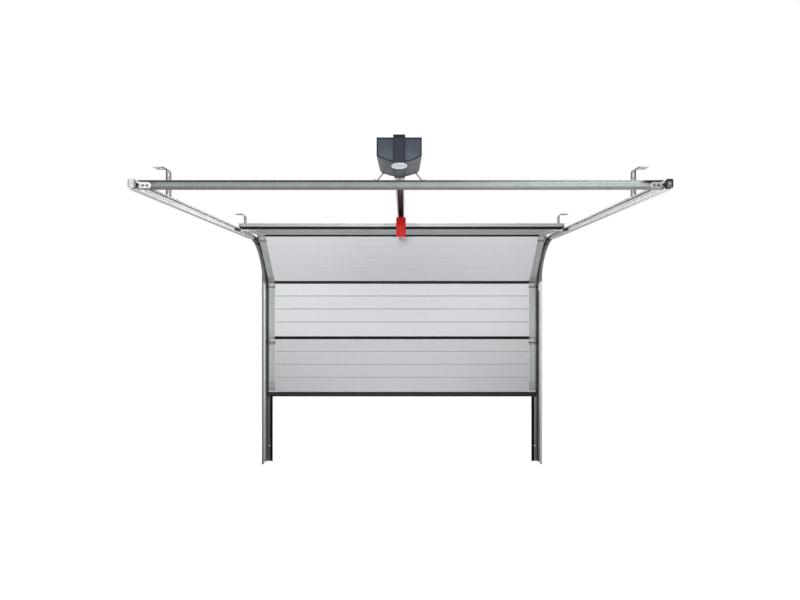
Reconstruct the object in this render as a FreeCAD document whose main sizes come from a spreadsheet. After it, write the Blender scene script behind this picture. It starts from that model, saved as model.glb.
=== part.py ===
import FreeCAD, Part
import Sketcher
import math
import os
import re

# A sectional overhead garage door, seen and driven from the room side.
# Millimetres. X runs along the wall, to the right for someone in the room who faces the door.
# Y runs out through the wall, so the room lies at negative Y. Z is up.
# The origin is the middle of the lintel's wall face. The leaf stands one third open: two sections
# hang upright, the third leans in the curve of the tracks, and the fourth lies in the level rails.

SIZES = {
    # Opening and frame
    "clear_width": 2500,
    "clear_height": 2125,
    "lintel_height": 115,
    "lintel_flange": 40,
    "lintel_lip": 12,
    "headroom": 172,
    "frame_sheet": 2,
    "post_flange": 76,
    "post_depth": 108,
    "post_lip": 20,
    "post_lip_top": 90,
    "screw_inset": 32,
    "screw_radius": 4.5,
    "screw_first": 150,
    "screw_pitch": 600,
    "screw_count": 4,
    # Rubber seals of the frame
    "seal_width": 26,
    "seal_base": 2,
    "seal_root": 8,
    "seal_heel": 14,
    "seal_tip": 4,
    "lintel_seal_rise": 4,
    "running_gap": 0.3,
    # Leaf sections
    "leaf_gap": 8,
    "leaf_side_lap": 24,
    "leaf_thickness": 42,
    "section_count": 4,
    "hinge_offset": 8,
    "joint_gap": 1,
    "lip_gap": 2,
    "nose_radius": 46,
    "nose_clearance": 1.5,
    "nose_angle": 55,
    "nose_lead": 2,
    "nose_root": 16,
    "leg_gap": 2,
    "band_height": 13,
    "band_depth": 10,
    "rib_first": 152,
    "rib_pitch": 124,
    "rib_count": 3,
    "rib_width": 9,
    "rib_depth": 3,
    # Sheet caps on the ends of the sections
    "cap_sheet": 1.5,
    "cap_flange": 60,
    "cap_margin": 2,
    # Seals and profile on the edges of the leaf
    "bottom_seal_height": 30,
    "bottom_seal_lap": 12,
    "bottom_seal_setback": 1,
    "bottom_seal_flap": 1.5,
    "bottom_seal_rise": 13,
    "bottom_seal_tip": 14,
    "bottom_seal_wall": 3,
    "edge_profile_lap": 4,
    "edge_profile_height": 12,
    "edge_profile_share": 26,
    "edge_profile_wall": 1.5,
    "edge_seal_inset": 18,
    "edge_seal_height": 14,
    "edge_seal_drop": 5,
    # Tracks and rails
    "track_height": 44,
    "track_depth": 32,
    "track_sheet": 2,
    "track_lip": 8,
    "track_radius": 463,
    "bend_fold": 12,
    "bend_fold_rise": 8,
    "track_foot_gap": 20,
    "curve_leg": 362,
    "rail_drop": 22,
    "rail_overrun": 352,
    "joint_above_curve": 82.9,
    # Plates that hold the tracks
    "spacer_sheet": 2,
    "corner_plate_edge": 4,
    "corner_plate_foot": 80,
    "corner_plate_reach": 60,
    "corner_plate_height": 80,
    "corner_plate_head": 60,
    "clip_height": 40,
    "clip_overlap": 6,
    "clip_first": 250,
    "clip_top_gap": 70,
    "clip_count": 3,
    "splice_length": 100,
    "splice_height": 36,
    # Rollers and their brackets
    "roller_offset": 22,
    "roller_below_joint": 44,
    "roller_width": 14,
    "roller_play": 3,
    "roller_taper": 8,
    "roller_hub_radius": 9,
    "roller_hub_length": 4,
    "axle_radius": 5.5,
    "axle_length": 110,
    "top_roller_offset": 9,
    "top_roller_inset": 44,
    "bottom_roller_rise": 30,
    "hinge_width": 54,
    "hinge_edge": 2,
    "hinge_sheet": 3,
    "hinge_below": 65,
    "hinge_above": 58,
    "hinge_shoulder": 9,
    "knuckle_length": 14,
    "knuckle_gap": 1,
    "knuckle_radius": 6,
    "pin_radius": 3,
    "cheek_sheet": 3,
    "cheek_foot": 18,
    "cheek_nose": 9,
    "end_bracket_sheet": 1.5,
    "end_bracket_height": 96,
    "end_bracket_margin": 3,
    "end_bracket_width": 68,
    # Rear cross bar
    "cross_bar_height": 42,
    "cross_bar_rise": 4.5,
    "cross_bar_depth": 28,
    "cross_bar_sheet": 2,
    "cross_bracket_sheet": 3,
    "cross_bracket_width": 60,
    "cross_bracket_plate": 34,
    "cross_bracket_height": 43,
    "cross_bracket_return": 46,
    "cross_bracket_bolt": 3.5,
    "cross_bracket_bolt_pitch": 22,
    "cross_bracket_bolt_first": 18,
    "buffer_width": 34,
    "buffer_height": 46,
    "buffer_depth": 12,
    "buffer_rise": 6.5,
    "buffer_inset": 2,
    "buffer_corner": 8,
    # Ceiling hangers
    "hanger_sheet": 2.5,
    "hanger_width": 65,
    "hanger_bend": 25,
    "hanger_flange": 78,
    "hanger_below_rail": 18,
    "hanger_front": 96,
    "hanger_front_drop": 20,
    "hanger_rear": 421,
    "hanger_slot_width": 16,
    "hanger_slot_length": 26,
    "hanger_slot_pitch": 38,
    "hanger_slot_first": 54,
    "hanger_slot_count": 4,
    "ceiling_slot_width": 11,
    "ceiling_slot_length": 30,
    "ceiling_slot_reach": 50,
    # Operator head over the cross bar
    "head_length": 280,
    "head_setback": 116,
    "head_ceiling_gap": 12,
    "operator_x": -5,
    "head_near_width": 207,
    "head_far_width": 200,
    "head_side": 84,
    "head_near_crown": 31,
    "head_far_crown": 29,
    "head_edge_round": 5,
    "strap_width": 55,
    "strap_sheet": 3,
    "badge_half_width": 37,
    "badge_half_length": 47,
    "badge_sheet": 3,
    "badge_setback": 2,
    # Boom from the lintel to the head
    "boom_width": 50,
    "boom_height": 36,
    "boom_sheet": 1.5,
    "boom_lip": 8,
    "boom_above_opening": 63,
    "boom_wall_gap": 10,
    "wall_bracket_width": 90,
    "wall_bracket_height": 78,
    "wall_bracket_below": 12,
    "wall_bracket_sheet": 3,
    "wall_bracket_ear": 44,
    "clamp_setback": 21,
    "clamp_plate": 3,
    "clamp_width": 48,
    "clamp_length": 24,
    "clamp_barrel_radius": 11,
    "clamp_barrel_spread": 24,
    "clamp_barrel_height": 23,
    "stay_radius": 3,
    "stay_sheet": 3,
    "stay_tab_width": 16,
    "stay_tab_height": 32,
    "stay_tab_x": 84,
    "stay_tab_drop": 14,
    "stay_foot": 14,
    "stay_foot_reach": 14,
    "stay_foot_x": 108,
    "stay_foot_inset": 14,
    # Carriage, release lever and door arm
    "carriage_reach": 72,
    "carriage_length": 90,
    "slider_width": 44,
    "slider_height": 18,
    "neck_width": 28,
    "shoe_width": 40,
    "shoe_drop": 14,
    "shoe_height": 12,
    "ear_sheet": 5,
    "ear_length": 28,
    "ear_drop": 34,
    "ear_pin_drop": 38,
    "ear_pin_setback": 21,
    "arm_sheet": 8,
    "arm_width": 26,
    "arm_gap": 2,
    "arm_pin_radius": 4,
    "arm_pin_length": 28,
    "arm_bracket_width": 80,
    "arm_bracket_length": 84,
    "arm_bracket_margin": 6,
    "arm_bracket_sheet": 3,
    "arm_bracket_pin_inset": 47,
    "arm_bracket_pin_drop": 32,
    "lever_width": 74,
    "lever_height": 150,
    "lever_sheet": 3,
    "lever_return": 25,
    "hook_width": 14,
    "hook_height": 22,
    "hook_hole": 3.5,
    "hook_shift": 8,
    # Belt loop in the boom
    "belt_sheet": 1.5,
    "belt_height": 10,
    "belt_half_spread": 12,
    "belt_end_gap": 22,
}

# Places and angles that follow from the sizes. "tilt" and "lean" entries are angles.
WORKED = {
    "floor_z": "-(clear_height + lintel_height / 2)",
    "opening_top": "-lintel_height / 2",
    "post_height": "clear_height + lintel_height",
    "ceiling_z": "opening_top + headroom",
    "half_clear": "clear_width / 2",
    "half_frame": "half_clear + post_flange",
    "half_leaf": "half_clear + leaf_side_lap",
    "web_x": "half_frame - frame_sheet - spacer_sheet",
    "lip_x": "web_x - track_depth",
    "pitch": "clear_height / section_count",
    "outer_face": "hinge_offset + leaf_thickness",
    "hinge_y": "-(leaf_gap + leaf_thickness + hinge_offset)",
    "track_y": "-(leaf_gap + leaf_thickness + roller_offset)",
    "rail_z": "opening_top - rail_drop",
    "curve_z": "rail_z - track_radius",
    "curve_y": "track_y - track_radius",
    "clip_room": "curve_z - corner_plate_foot - clip_top_gap - clip_height - floor_z - clip_first",
    "clip_pitch": "clip_room / (clip_count - 1)",
    "curve_end_y": "curve_y - curve_leg",
    "rail_end_y": "-(clear_height + rail_overrun)",
    "roller_radius": "track_height / 2 - track_sheet - running_gap",
    "roller_out": "roller_offset - hinge_offset",
    "roller_reach": "pitch - roller_below_joint",
    "joint2_z": "curve_z + joint_above_curve",
    "joint1_z": "joint2_z - pitch",
    "leaf_bottom_z": "joint1_z - pitch",
    "roller2_z": "joint2_z - roller_below_joint",
    "roller2_y": "curve_y + sqrt(track_radius ^ 2 - max(0; roller2_z - curve_z) ^ 2)",
    "reach3": "sqrt(roller_reach ^ 2 + roller_out ^ 2)",
    "centre_run": "hinge_y - curve_y",
    "centre_span": "sqrt(centre_run ^ 2 + joint_above_curve ^ 2)",
    "lean_to_centre": "90 deg + atan(joint_above_curve / centre_run)",
    "lean_in_curve": "acos((centre_span ^ 2 + reach3 ^ 2 - track_radius ^ 2) / (2 * centre_span * reach3))",
    "tilt3": "lean_to_centre - lean_in_curve - atan(roller_out / roller_reach)",
    "joint3_y": "hinge_y - pitch * sin(tilt3)",
    "joint3_z": "joint2_z + pitch * cos(tilt3)",
    "top_roller_y": "hinge_offset - top_roller_offset",
    "top_roller_z": "pitch - top_roller_inset",
    "reach4": "sqrt(top_roller_z ^ 2 + top_roller_y ^ 2)",
    "tilt4": "90 deg + asin((joint3_z - rail_z) / reach4) + atan(top_roller_y / top_roller_z)",
    "leaf_top_y": "joint3_y - pitch * sin(tilt4)",
    "hinge_x": "half_leaf - hinge_edge - hinge_width",
    "axle_x": "web_x - track_sheet - roller_play - axle_length",
    "recess_radius": "nose_radius + nose_clearance",
    "recess_angle": "nose_angle + nose_lead",
    "pin_bore": "pin_radius + running_gap",
    "axle_bore": "axle_radius + running_gap",
    "arm_pin_bore": "arm_pin_radius + running_gap",
    "cross_bar_z": "rail_z + cross_bar_rise",
    "head_far_y": "rail_end_y + head_setback",
    "head_top_z": "ceiling_z - head_ceiling_gap",
    "head_low_z": "head_top_z - head_side - head_near_crown",
    "boom_z": "opening_top + boom_above_opening",
    "boom_start_y": "-(frame_sheet + boom_wall_gap)",
    "lever_y": "leaf_top_y - carriage_reach - lever_sheet",
    "carriage_y": "lever_y + lever_sheet",
    "slider_z": "boom_z + boom_sheet + running_gap",
    "ear_pin_y": "carriage_y + ear_pin_setback",
    "ear_pin_z": "boom_z - ear_pin_drop",
    "arm_local_y": "hinge_offset - arm_bracket_pin_drop",
    "arm_local_z": "pitch - arm_bracket_pin_inset",
    "arm_pin_y": "joint3_y + arm_local_y * cos(tilt4) - arm_local_z * sin(tilt4)",
    "arm_pin_z": "joint3_z + arm_local_y * sin(tilt4) + arm_local_z * cos(tilt4)",
    "belt_z": "slider_z + slider_height + running_gap",
}

# The frames that carry the four sections: the lower hinge line of each and its lean from upright.
SECTION_FRAMES = {
    "bottom": ("hinge_y", "leaf_bottom_z", None),
    "lower_middle": ("hinge_y", "joint1_z", None),
    "upper_middle": ("hinge_y", "joint2_z", "tilt3"),
    "top": ("joint3_y", "joint3_z", "tilt4"),
}

X_AXIS = FreeCAD.Vector(1, 0, 0)
Z_AXIS = FreeCAD.Vector(0, 0, 1)

doc = FreeCAD.newDocument("GarageDoor")
sub_parts = []


def make_sheet():
    """Write the driving sizes into the spreadsheet, one alias to a row."""
    sheet = doc.addObject("Spreadsheet::Sheet", "Sizes")
    for row, (name, value) in enumerate(SIZES.items(), start=1):
        sheet.set("A%d" % row, name.replace("_", " "))
        sheet.set("B%d" % row, str(value))
        sheet.setAlias("B%d" % row, name)
    doc.recompute()
    return sheet


def formula(text):
    """Point every size named in the text at the object that holds it."""
    def owner(match):
        name = match.group()
        if name in SIZES:
            return "Sizes." + name
        if name in WORKED:
            return "Worked." + name
        return name
    return re.sub(r"[a-z][a-z0-9_]*", owner, text)


def make_worked():
    """Hold the worked-out places and angles as bound properties."""
    worked = doc.addObject("App::VarSet", "Worked")
    for name, text in WORKED.items():
        angle = name.startswith(("tilt", "lean_"))
        worked.addProperty("App::PropertyAngle" if angle else "App::PropertyFloat", name, "Worked")
        worked.setExpression(name, formula(text))
    doc.recompute()
    return worked


sizes = make_sheet()
worked = make_worked()


def amount(text):
    """The number that a formula gives now."""
    return float(worked.evalExpression(formula(text)))


def keep(item, name):
    """Name a finished sub-part, which is written out under that name."""
    item.Label = name
    sub_parts.append(item)
    return item


def place(item, x="0", y="0", z="0", tilt=None):
    """Bind a placement: a shift, and a turn about X where the piece leans."""
    if tilt:
        item.Placement = FreeCAD.Placement(FreeCAD.Vector(), FreeCAD.Rotation(X_AXIS, 45))
        item.setExpression("Placement.Rotation.Angle", formula(tilt))
    for axis, text in (("x", x), ("y", y), ("z", z)):
        if text != "0":
            item.setExpression("Placement.Base." + axis, formula(text))
    return item


def new_body(name):
    return doc.addObject("PartDesign::Body", name)


def new_sketch(body, name, plane, offset="0"):
    """A sketch on one of the body's own planes, moved along that plane's normal."""
    sketch = body.newObject("Sketcher::SketchObject", name)
    support = [feature for feature in body.Origin.OriginFeatures if feature.Role == plane][0]
    sketch.AttachmentSupport = [(support, "")]
    sketch.MapMode = "FlatFace"
    if offset != "0":
        sketch.setExpression("AttachmentOffset.Base.z", formula(offset))
    return sketch


def fix_point(sketch, index, end, across, up):
    """Tie a point of the sketch to its two formulas."""
    for kind, axis, text in (("DistanceX", -2, across), ("DistanceY", -1, up)):
        if text == "0":
            sketch.addConstraint(Sketcher.Constraint("PointOnObject", index, end, axis))
            continue
        number = sketch.addConstraint(Sketcher.Constraint(kind, -1, 1, index, end, amount(text)))
        sketch.setExpression("Constraints[%d]" % number, formula(text))


def arc_between(start, stop, radius):
    """The short arc between two points, counter-clockwise where the radius is positive."""
    if radius < 0:
        return arc_between(stop, start, -radius)
    chord = stop - start
    half = chord.Length / 2
    rise = math.sqrt(max(radius ** 2 - half ** 2, 0))
    left = FreeCAD.Vector(-chord.y, chord.x, 0).normalize()
    centre = (start + stop) * 0.5 + left * rise
    begin = math.atan2(start.y - centre.y, start.x - centre.x)
    end = math.atan2(stop.y - centre.y, stop.x - centre.x)
    circle = Part.Circle(centre, Z_AXIS, radius)
    return Part.ArcOfCircle(circle, begin, end if end > begin else end + 2 * math.pi)


def outline(sketch, corners):
    """Close a loop through corners given as formulas. A third entry makes the next run an arc."""
    first = sketch.GeometryCount
    points = [FreeCAD.Vector(amount(corner[0]), amount(corner[1]), 0) for corner in corners]
    ends = []
    for index, corner in enumerate(corners):
        start = points[index]
        stop = points[(index + 1) % len(corners)]
        radius = amount(corner[2]) if len(corner) == 3 else 0
        edge = arc_between(start, stop, radius) if radius else Part.LineSegment(start, stop)
        sketch.addGeometry(edge, False)
        ends.append((2, 1) if radius < 0 else (1, 2))
    for index in range(len(corners)):
        following = (index + 1) % len(corners)
        sketch.addConstraint(Sketcher.Constraint(
            "Coincident", first + index, ends[index][1], first + following, ends[following][0]))
    for index, corner in enumerate(corners):
        fix_point(sketch, first + index, ends[index][0], corner[0], corner[1])
        if len(corner) == 3:
            radius = abs(amount(corner[2]))
            number = sketch.addConstraint(Sketcher.Constraint("Radius", first + index, radius))
            sketch.setExpression("Constraints[%d]" % number, "abs(%s)" % formula(corner[2]))


def rectangle(sketch, left, low, right, high):
    outline(sketch, [(left, low), (right, low), (right, high), (left, high)])


def circle(sketch, across, up, radius):
    """A full circle tied to the formulas of its centre and radius."""
    centre = FreeCAD.Vector(amount(across), amount(up), 0)
    index = sketch.addGeometry(Part.Circle(centre, Z_AXIS, amount(radius)), False)
    fix_point(sketch, index, 3, across, up)
    number = sketch.addConstraint(Sketcher.Constraint("Radius", index, amount(radius)))
    sketch.setExpression("Constraints[%d]" % number, formula(radius))


def slot(sketch, across, low, high, half):
    """An upright slot with round ends, between the centres of its two ends."""
    left = "%s - %s" % (across, half)
    right = "%s + %s" % (across, half)
    outline(sketch, [
        (left, high), (left, low, half),
        (across, "%s - %s" % (low, half), half), (right, low),
        (right, high, half), (across, "%s + %s" % (high, half), half),
    ])


def pad(body, sketch, length, middle=False, backwards=False):
    feature = body.newObject("PartDesign::Pad", sketch.Name + "_pad")
    feature.Profile = sketch
    feature.setExpression("Length", formula(length))
    feature.Midplane = middle
    feature.Reversed = backwards
    sketch.Visibility = False
    return feature


def pocket(body, sketch, depth):
    """Cut a sketch's outline through the body, to both sides of the sketch."""
    feature = body.newObject("PartDesign::Pocket", sketch.Name + "_pocket")
    feature.Profile = sketch
    feature.setExpression("Length", formula(depth))
    feature.Midplane = True
    sketch.Visibility = False
    return feature


def row_of(body, feature, sketch, axis, length, count):
    """Repeat a feature in a row along one of its sketch's axes."""
    doc.recompute()
    pattern = body.newObject("PartDesign::LinearPattern", feature.Name + "_row")
    pattern.Originals = [feature]
    pattern.Direction = (sketch, [axis])
    pattern.setExpression("Length", formula(length))
    pattern.setExpression("Occurrences", formula(count))
    body.Tip = pattern
    return pattern


def box(name, low, high):
    """A block between two corners, each given as three formulas."""
    block = doc.addObject("Part::Box", name)
    for prop, axis in (("Length", 0), ("Width", 1), ("Height", 2)):
        block.setExpression(prop, formula("(%s) - (%s)" % (high[axis], low[axis])))
    return place(block, *low)


def mirrored(source):
    """The same piece on the other side of the door's middle plane."""
    copy = doc.addObject("Part::Mirroring", source.Name + "_left")
    copy.Source = source
    copy.Normal = X_AXIS
    return copy


def group(name, pieces):
    """Like pieces that share one sub-part without touching."""
    compound = doc.addObject("Part::Compound", name + "_group")
    compound.Links = pieces
    return keep(compound, name)


def pair(name, pieces):
    """Right-hand pieces and their left-hand copies as one sub-part."""
    return group(name, pieces + [mirrored(piece) for piece in pieces])


def both_sides(name, body):
    """A right-hand piece and its left-hand copy as two sub-parts."""
    keep(mirrored(body), "left_" + name)
    keep(body, "right_" + name)


def channel(mouth, web, half, sheet, lip, inward, centre="0"):
    """A lipped channel's corners: from its mouth to its web, and to both sides of a centre line.

    inward is + where the web lies above the mouth's own coordinate, and - where it lies below.
    """
    outward = "-" if inward == "+" else "+"
    mouth_inside = "%s %s %s" % (mouth, inward, sheet)
    web_inside = "%s %s %s" % (web, outward, sheet)
    low = "%s - %s" % (centre, half)
    high = "%s + %s" % (centre, half)
    return [
        (mouth, low), (web, low), (web, high), (mouth, high),
        (mouth, "%s - %s" % (high, lip)), (mouth_inside, "%s - %s" % (high, lip)),
        (mouth_inside, "%s - %s" % (high, sheet)), (web_inside, "%s - %s" % (high, sheet)),
        (web_inside, "%s + %s" % (low, sheet)), (mouth_inside, "%s + %s" % (low, sheet)),
        (mouth_inside, "%s + %s" % (low, lip)), (mouth, "%s + %s" % (low, lip)),
    ]


def track_channel(centre="0"):
    return channel("lip_x", "web_x", "track_height / 2", "track_sheet", "track_lip", "+", centre)


def bend_channel():
    """The bend's corners: its web folds in to a narrower flange on the inside of the bend."""
    corners = track_channel("track_radius")
    low = "track_radius - track_height / 2"
    fold = "atan(bend_fold_rise / bend_fold)"
    flange_run = "web_x - bend_fold - track_sheet * tan(%s / 2)" % fold
    web_rise = "%s + bend_fold_rise + track_sheet * tan(45 deg - %s / 2)" % (low, fold)
    outside = [("web_x - bend_fold", low), ("web_x", low + " + bend_fold_rise")]
    inside = [("web_x - track_sheet", web_rise), (flange_run, low + " + track_sheet")]
    return corners[:1] + outside + corners[2:8] + inside + corners[9:]


def make_posts():
    """Angle posts: a wall flange, a side web and a near lip that stops below the curve."""
    body = new_body("post")
    shape = new_sketch(body, "post_shape", "XY_Plane")
    outline(shape, [
        ("half_clear", "0"), ("half_frame", "0"), ("half_frame", "-post_depth"),
        ("half_frame - post_lip", "-post_depth"),
        ("half_frame - post_lip", "-post_depth + frame_sheet"),
        ("half_frame - frame_sheet", "-post_depth + frame_sheet"),
        ("half_frame - frame_sheet", "-frame_sheet"), ("half_clear", "-frame_sheet"),
    ])
    pad(body, shape, "post_height")
    clearing = new_sketch(body, "post_lip_clearing", "YZ_Plane")
    rectangle(clearing, "-post_depth - frame_sheet", "curve_z + post_lip_top - floor_z",
              "-post_depth + frame_sheet", "post_height + frame_sheet")
    pocket(body, clearing, "3 * half_frame")
    screw = new_sketch(body, "post_screw", "XZ_Plane")
    circle(screw, "half_clear + screw_inset", "screw_first", "screw_radius")
    hole = pocket(body, screw, "4 * frame_sheet")
    row_of(body, hole, screw, "V_Axis", "screw_pitch * (screw_count - 1)", "screw_count")
    both_sides("post", place(body, z="floor_z"))


def make_lintel():
    """Lintel sheet between the posts, with a stiffening flange along its top."""
    body = new_body("lintel_sheet")
    shape = new_sketch(body, "lintel_shape", "YZ_Plane")
    outline(shape, [
        ("0", "-lintel_height / 2"), ("0", "lintel_height / 2"),
        ("-lintel_flange", "lintel_height / 2"),
        ("-lintel_flange", "lintel_height / 2 - lintel_lip"),
        ("-lintel_flange + frame_sheet", "lintel_height / 2 - lintel_lip"),
        ("-lintel_flange + frame_sheet", "lintel_height / 2 - frame_sheet"),
        ("-frame_sheet", "lintel_height / 2 - frame_sheet"),
        ("-frame_sheet", "-lintel_height / 2"),
    ])
    pad(body, shape, "clear_width", middle=True)
    keep(body, "lintel")


def seal_corners(edge, swap):
    """A seal strip's base and the blade that leans on the leaf, from the opening's edge outwards."""
    base = "-frame_sheet"
    front = "-frame_sheet - seal_base"
    tip = "-leaf_gap + running_gap"
    corners = [
        (edge, base), (edge + " + seal_width", base), (edge + " + seal_width", front),
        (edge + " + seal_heel", front), (edge + " + seal_tip", tip), (edge, tip),
        (edge + " + seal_root", front), (edge, front),
    ]
    return [(up, across) for across, up in corners] if swap else corners


def make_frame_seals():
    side = new_body("side_seal")
    side_shape = new_sketch(side, "side_seal_shape", "XY_Plane")
    outline(side_shape, seal_corners("half_clear", swap=False))
    pad(side, side_shape, "clear_height")
    place(side, z="floor_z")
    head = new_body("head_seal")
    head_shape = new_sketch(head, "head_seal_shape", "YZ_Plane")
    outline(head_shape, seal_corners("opening_top + lintel_seal_rise", swap=True))
    pad(head, head_shape, "clear_width", middle=True)
    group("frame_seals", [side, mirrored(side), head])


def make_tracks():
    """The upright, curved and level stretches of the lipped tracks, mouths towards the leaf."""
    upright = new_body("vertical_track")
    shape = new_sketch(upright, "vertical_track_shape", "XY_Plane")
    outline(shape, track_channel())
    pad(upright, shape, "curve_z - floor_z - track_foot_gap")
    both_sides("vertical_track", place(upright, y="track_y", z="floor_z + track_foot_gap"))

    curve = new_body("curved_track")
    bend_shape = new_sketch(curve, "curved_track_shape", "XY_Plane")
    outline(bend_shape, bend_channel())
    bend = curve.newObject("PartDesign::Revolution", "curved_track_bend")
    bend.Profile = bend_shape
    bend.ReferenceAxis = (bend_shape, ["H_Axis"])
    bend.Angle = 90
    leg_shape = new_sketch(curve, "curved_track_leg", "XZ_Plane")
    outline(leg_shape, track_channel("track_radius"))
    pad(curve, leg_shape, "curve_leg")
    both_sides("curved_track", place(curve, y="curve_y", z="curve_z"))

    rail = new_body("rail")
    rail_shape = new_sketch(rail, "rail_shape", "XZ_Plane")
    outline(rail_shape, track_channel())
    pad(rail, rail_shape, "curve_end_y - rail_end_y")
    both_sides("rail", place(rail, y="curve_end_y", z="rail_z"))


def make_track_plates():
    """Flat plates in the gap between track and post: corner plates, clips and rail splices."""
    corner = new_body("corner_plate")
    shape = new_sketch(corner, "corner_plate_shape", "YZ_Plane")
    arc_end_y = "curve_y + track_radius * cos(corner_plate_reach)"
    outline(shape, [
        ("-corner_plate_edge", "curve_z - corner_plate_foot"),
        ("-corner_plate_edge", "-opening_top - corner_plate_edge"),
        ("-corner_plate_edge - corner_plate_head", "-opening_top - corner_plate_edge"),
        (arc_end_y, "curve_z + track_radius * sin(corner_plate_reach) + corner_plate_height"),
        (arc_end_y, "curve_z + track_radius * sin(corner_plate_reach)", "-track_radius"),
        ("track_y", "curve_z"),
        ("track_y", "curve_z - corner_plate_foot"),
    ])
    pad(corner, shape, "spacer_sheet")
    pair("corner_plates", [place(corner, x="web_x")])

    clips = []
    for index in range(int(amount("clip_count"))):
        low_z = "floor_z + clip_first + %d * clip_pitch" % index
        clips.append(box(
            "track_clip", ("web_x", "track_y - track_height / 2 - clip_overlap", low_z),
            ("web_x + spacer_sheet", "track_y + track_height / 2 + clip_overlap",
             low_z + " + clip_height")))
    pair("track_clips", clips)

    splice = box(
        "rail_splice", ("web_x", "curve_end_y - splice_length / 2", "rail_z - splice_height / 2"),
        ("web_x + spacer_sheet", "curve_end_y + splice_length / 2", "rail_z + splice_height / 2"))
    pair("rail_splices", [splice])


def section_corners(lower_joint, upper_joint):
    """A section's outline: plain at the leaf's ends, shaped against trapped fingers at its joints."""
    notch = "hinge_offset + band_depth"
    corners = [("hinge_offset", "0"), ("outer_face", "0")]
    if lower_joint:
        corners = [
            ("hinge_offset", "band_height"), (notch, "band_height"), (notch, "joint_gap"),
            ("hinge_offset + nose_root - leg_gap", "joint_gap"),
            ("recess_radius * cos(recess_angle)", "recess_radius * sin(recess_angle)",
             "-recess_radius"),
            ("sqrt(recess_radius ^ 2 - lip_gap ^ 2)", "lip_gap"), ("outer_face", "lip_gap"),
        ]
    if not upper_joint:
        return corners + [("outer_face", "pitch"), ("hinge_offset", "pitch")]
    return corners + [
        ("outer_face", "pitch"), ("nose_radius", "pitch", "nose_radius"),
        ("nose_radius * cos(nose_angle)", "pitch + nose_radius * sin(nose_angle)"),
        ("hinge_offset + nose_root", "pitch - joint_gap"), (notch, "pitch - joint_gap"),
        (notch, "pitch - band_height"), ("hinge_offset", "pitch - band_height"),
    ]


def rib_corners(face, inward):
    """One groove between two ribs of a section's skin, centred on the first groove's height."""
    floor = "%s %s rib_depth" % (face, inward)
    return [
        (face, "rib_first - rib_width / 2"), (floor, "rib_first - rib_width / 2 + rib_depth"),
        (floor, "rib_first + rib_width / 2 - rib_depth"), (face, "rib_first + rib_width / 2"),
    ]


def make_section(kind, corners):
    """One insulated section: the outline along the leaf's width, with grooves in both skins."""
    body = new_body(kind + "_panel")
    shape = new_sketch(body, kind + "_panel_shape", "YZ_Plane")
    outline(shape, corners)
    pad(body, shape, "2 * (half_leaf - cap_sheet)", middle=True)
    grooves = new_sketch(body, kind + "_panel_grooves", "YZ_Plane")
    outline(grooves, rib_corners("hinge_offset", "+"))
    outline(grooves, rib_corners("outer_face", "-"))
    cut = pocket(body, grooves, "3 * half_leaf")
    row_of(body, cut, grooves, "V_Axis", "rib_pitch * (rib_count - 1)", "rib_count")
    y, z, tilt = SECTION_FRAMES[kind]
    keep(place(body, y=y, z=z, tilt=tilt), kind + "_section")


def make_end_cap(kind, corners):
    """The folded sheet that closes a section's right end and laps on to its inner skin."""
    body = new_body(kind + "_end_cap")
    plate = new_sketch(body, kind + "_cap_plate", "YZ_Plane", offset="cap_flange - cap_sheet")
    outline(plate, corners)
    pad(body, plate, "cap_sheet")
    flange = new_sketch(body, kind + "_cap_flange", "YZ_Plane")
    rectangle(flange, "hinge_offset - cap_sheet", "band_height + cap_margin",
              "hinge_offset", "pitch - band_height - cap_margin")
    pad(body, flange, "cap_flange")
    y, z, tilt = SECTION_FRAMES[kind]
    return place(body, x="half_leaf - cap_flange", y=y, z=z, tilt=tilt)


def make_leaf():
    caps = []
    for kind in SECTION_FRAMES:
        corners = section_corners(kind != "bottom", kind != "top")
        make_section(kind, corners)
        caps.append(make_end_cap(kind, corners))
    pair("section_end_caps", caps)


def make_joint_seals():
    """Black strips along both edges of each joint, flush with the inner skins."""
    strips = []
    half = "half_leaf - cap_flange"
    for kind, (y, z, tilt) in SECTION_FRAMES.items():
        for edge, low, high in (
            ("lower", "joint_gap", "band_height"),
            ("upper", "pitch - band_height", "pitch - joint_gap"),
        ):
            if (kind, edge) in (("bottom", "lower"), ("top", "upper")):
                continue
            body = new_body("%s_%s_strip" % (kind, edge))
            shape = new_sketch(body, body.Name + "_shape", "YZ_Plane")
            rectangle(shape, "hinge_offset", low, "hinge_offset + band_depth", high)
            pad(body, shape, "2 * (%s)" % half, middle=True)
            strips.append(place(body, y=y, z=z, tilt=tilt))
    group("joint_seals", strips)


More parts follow.
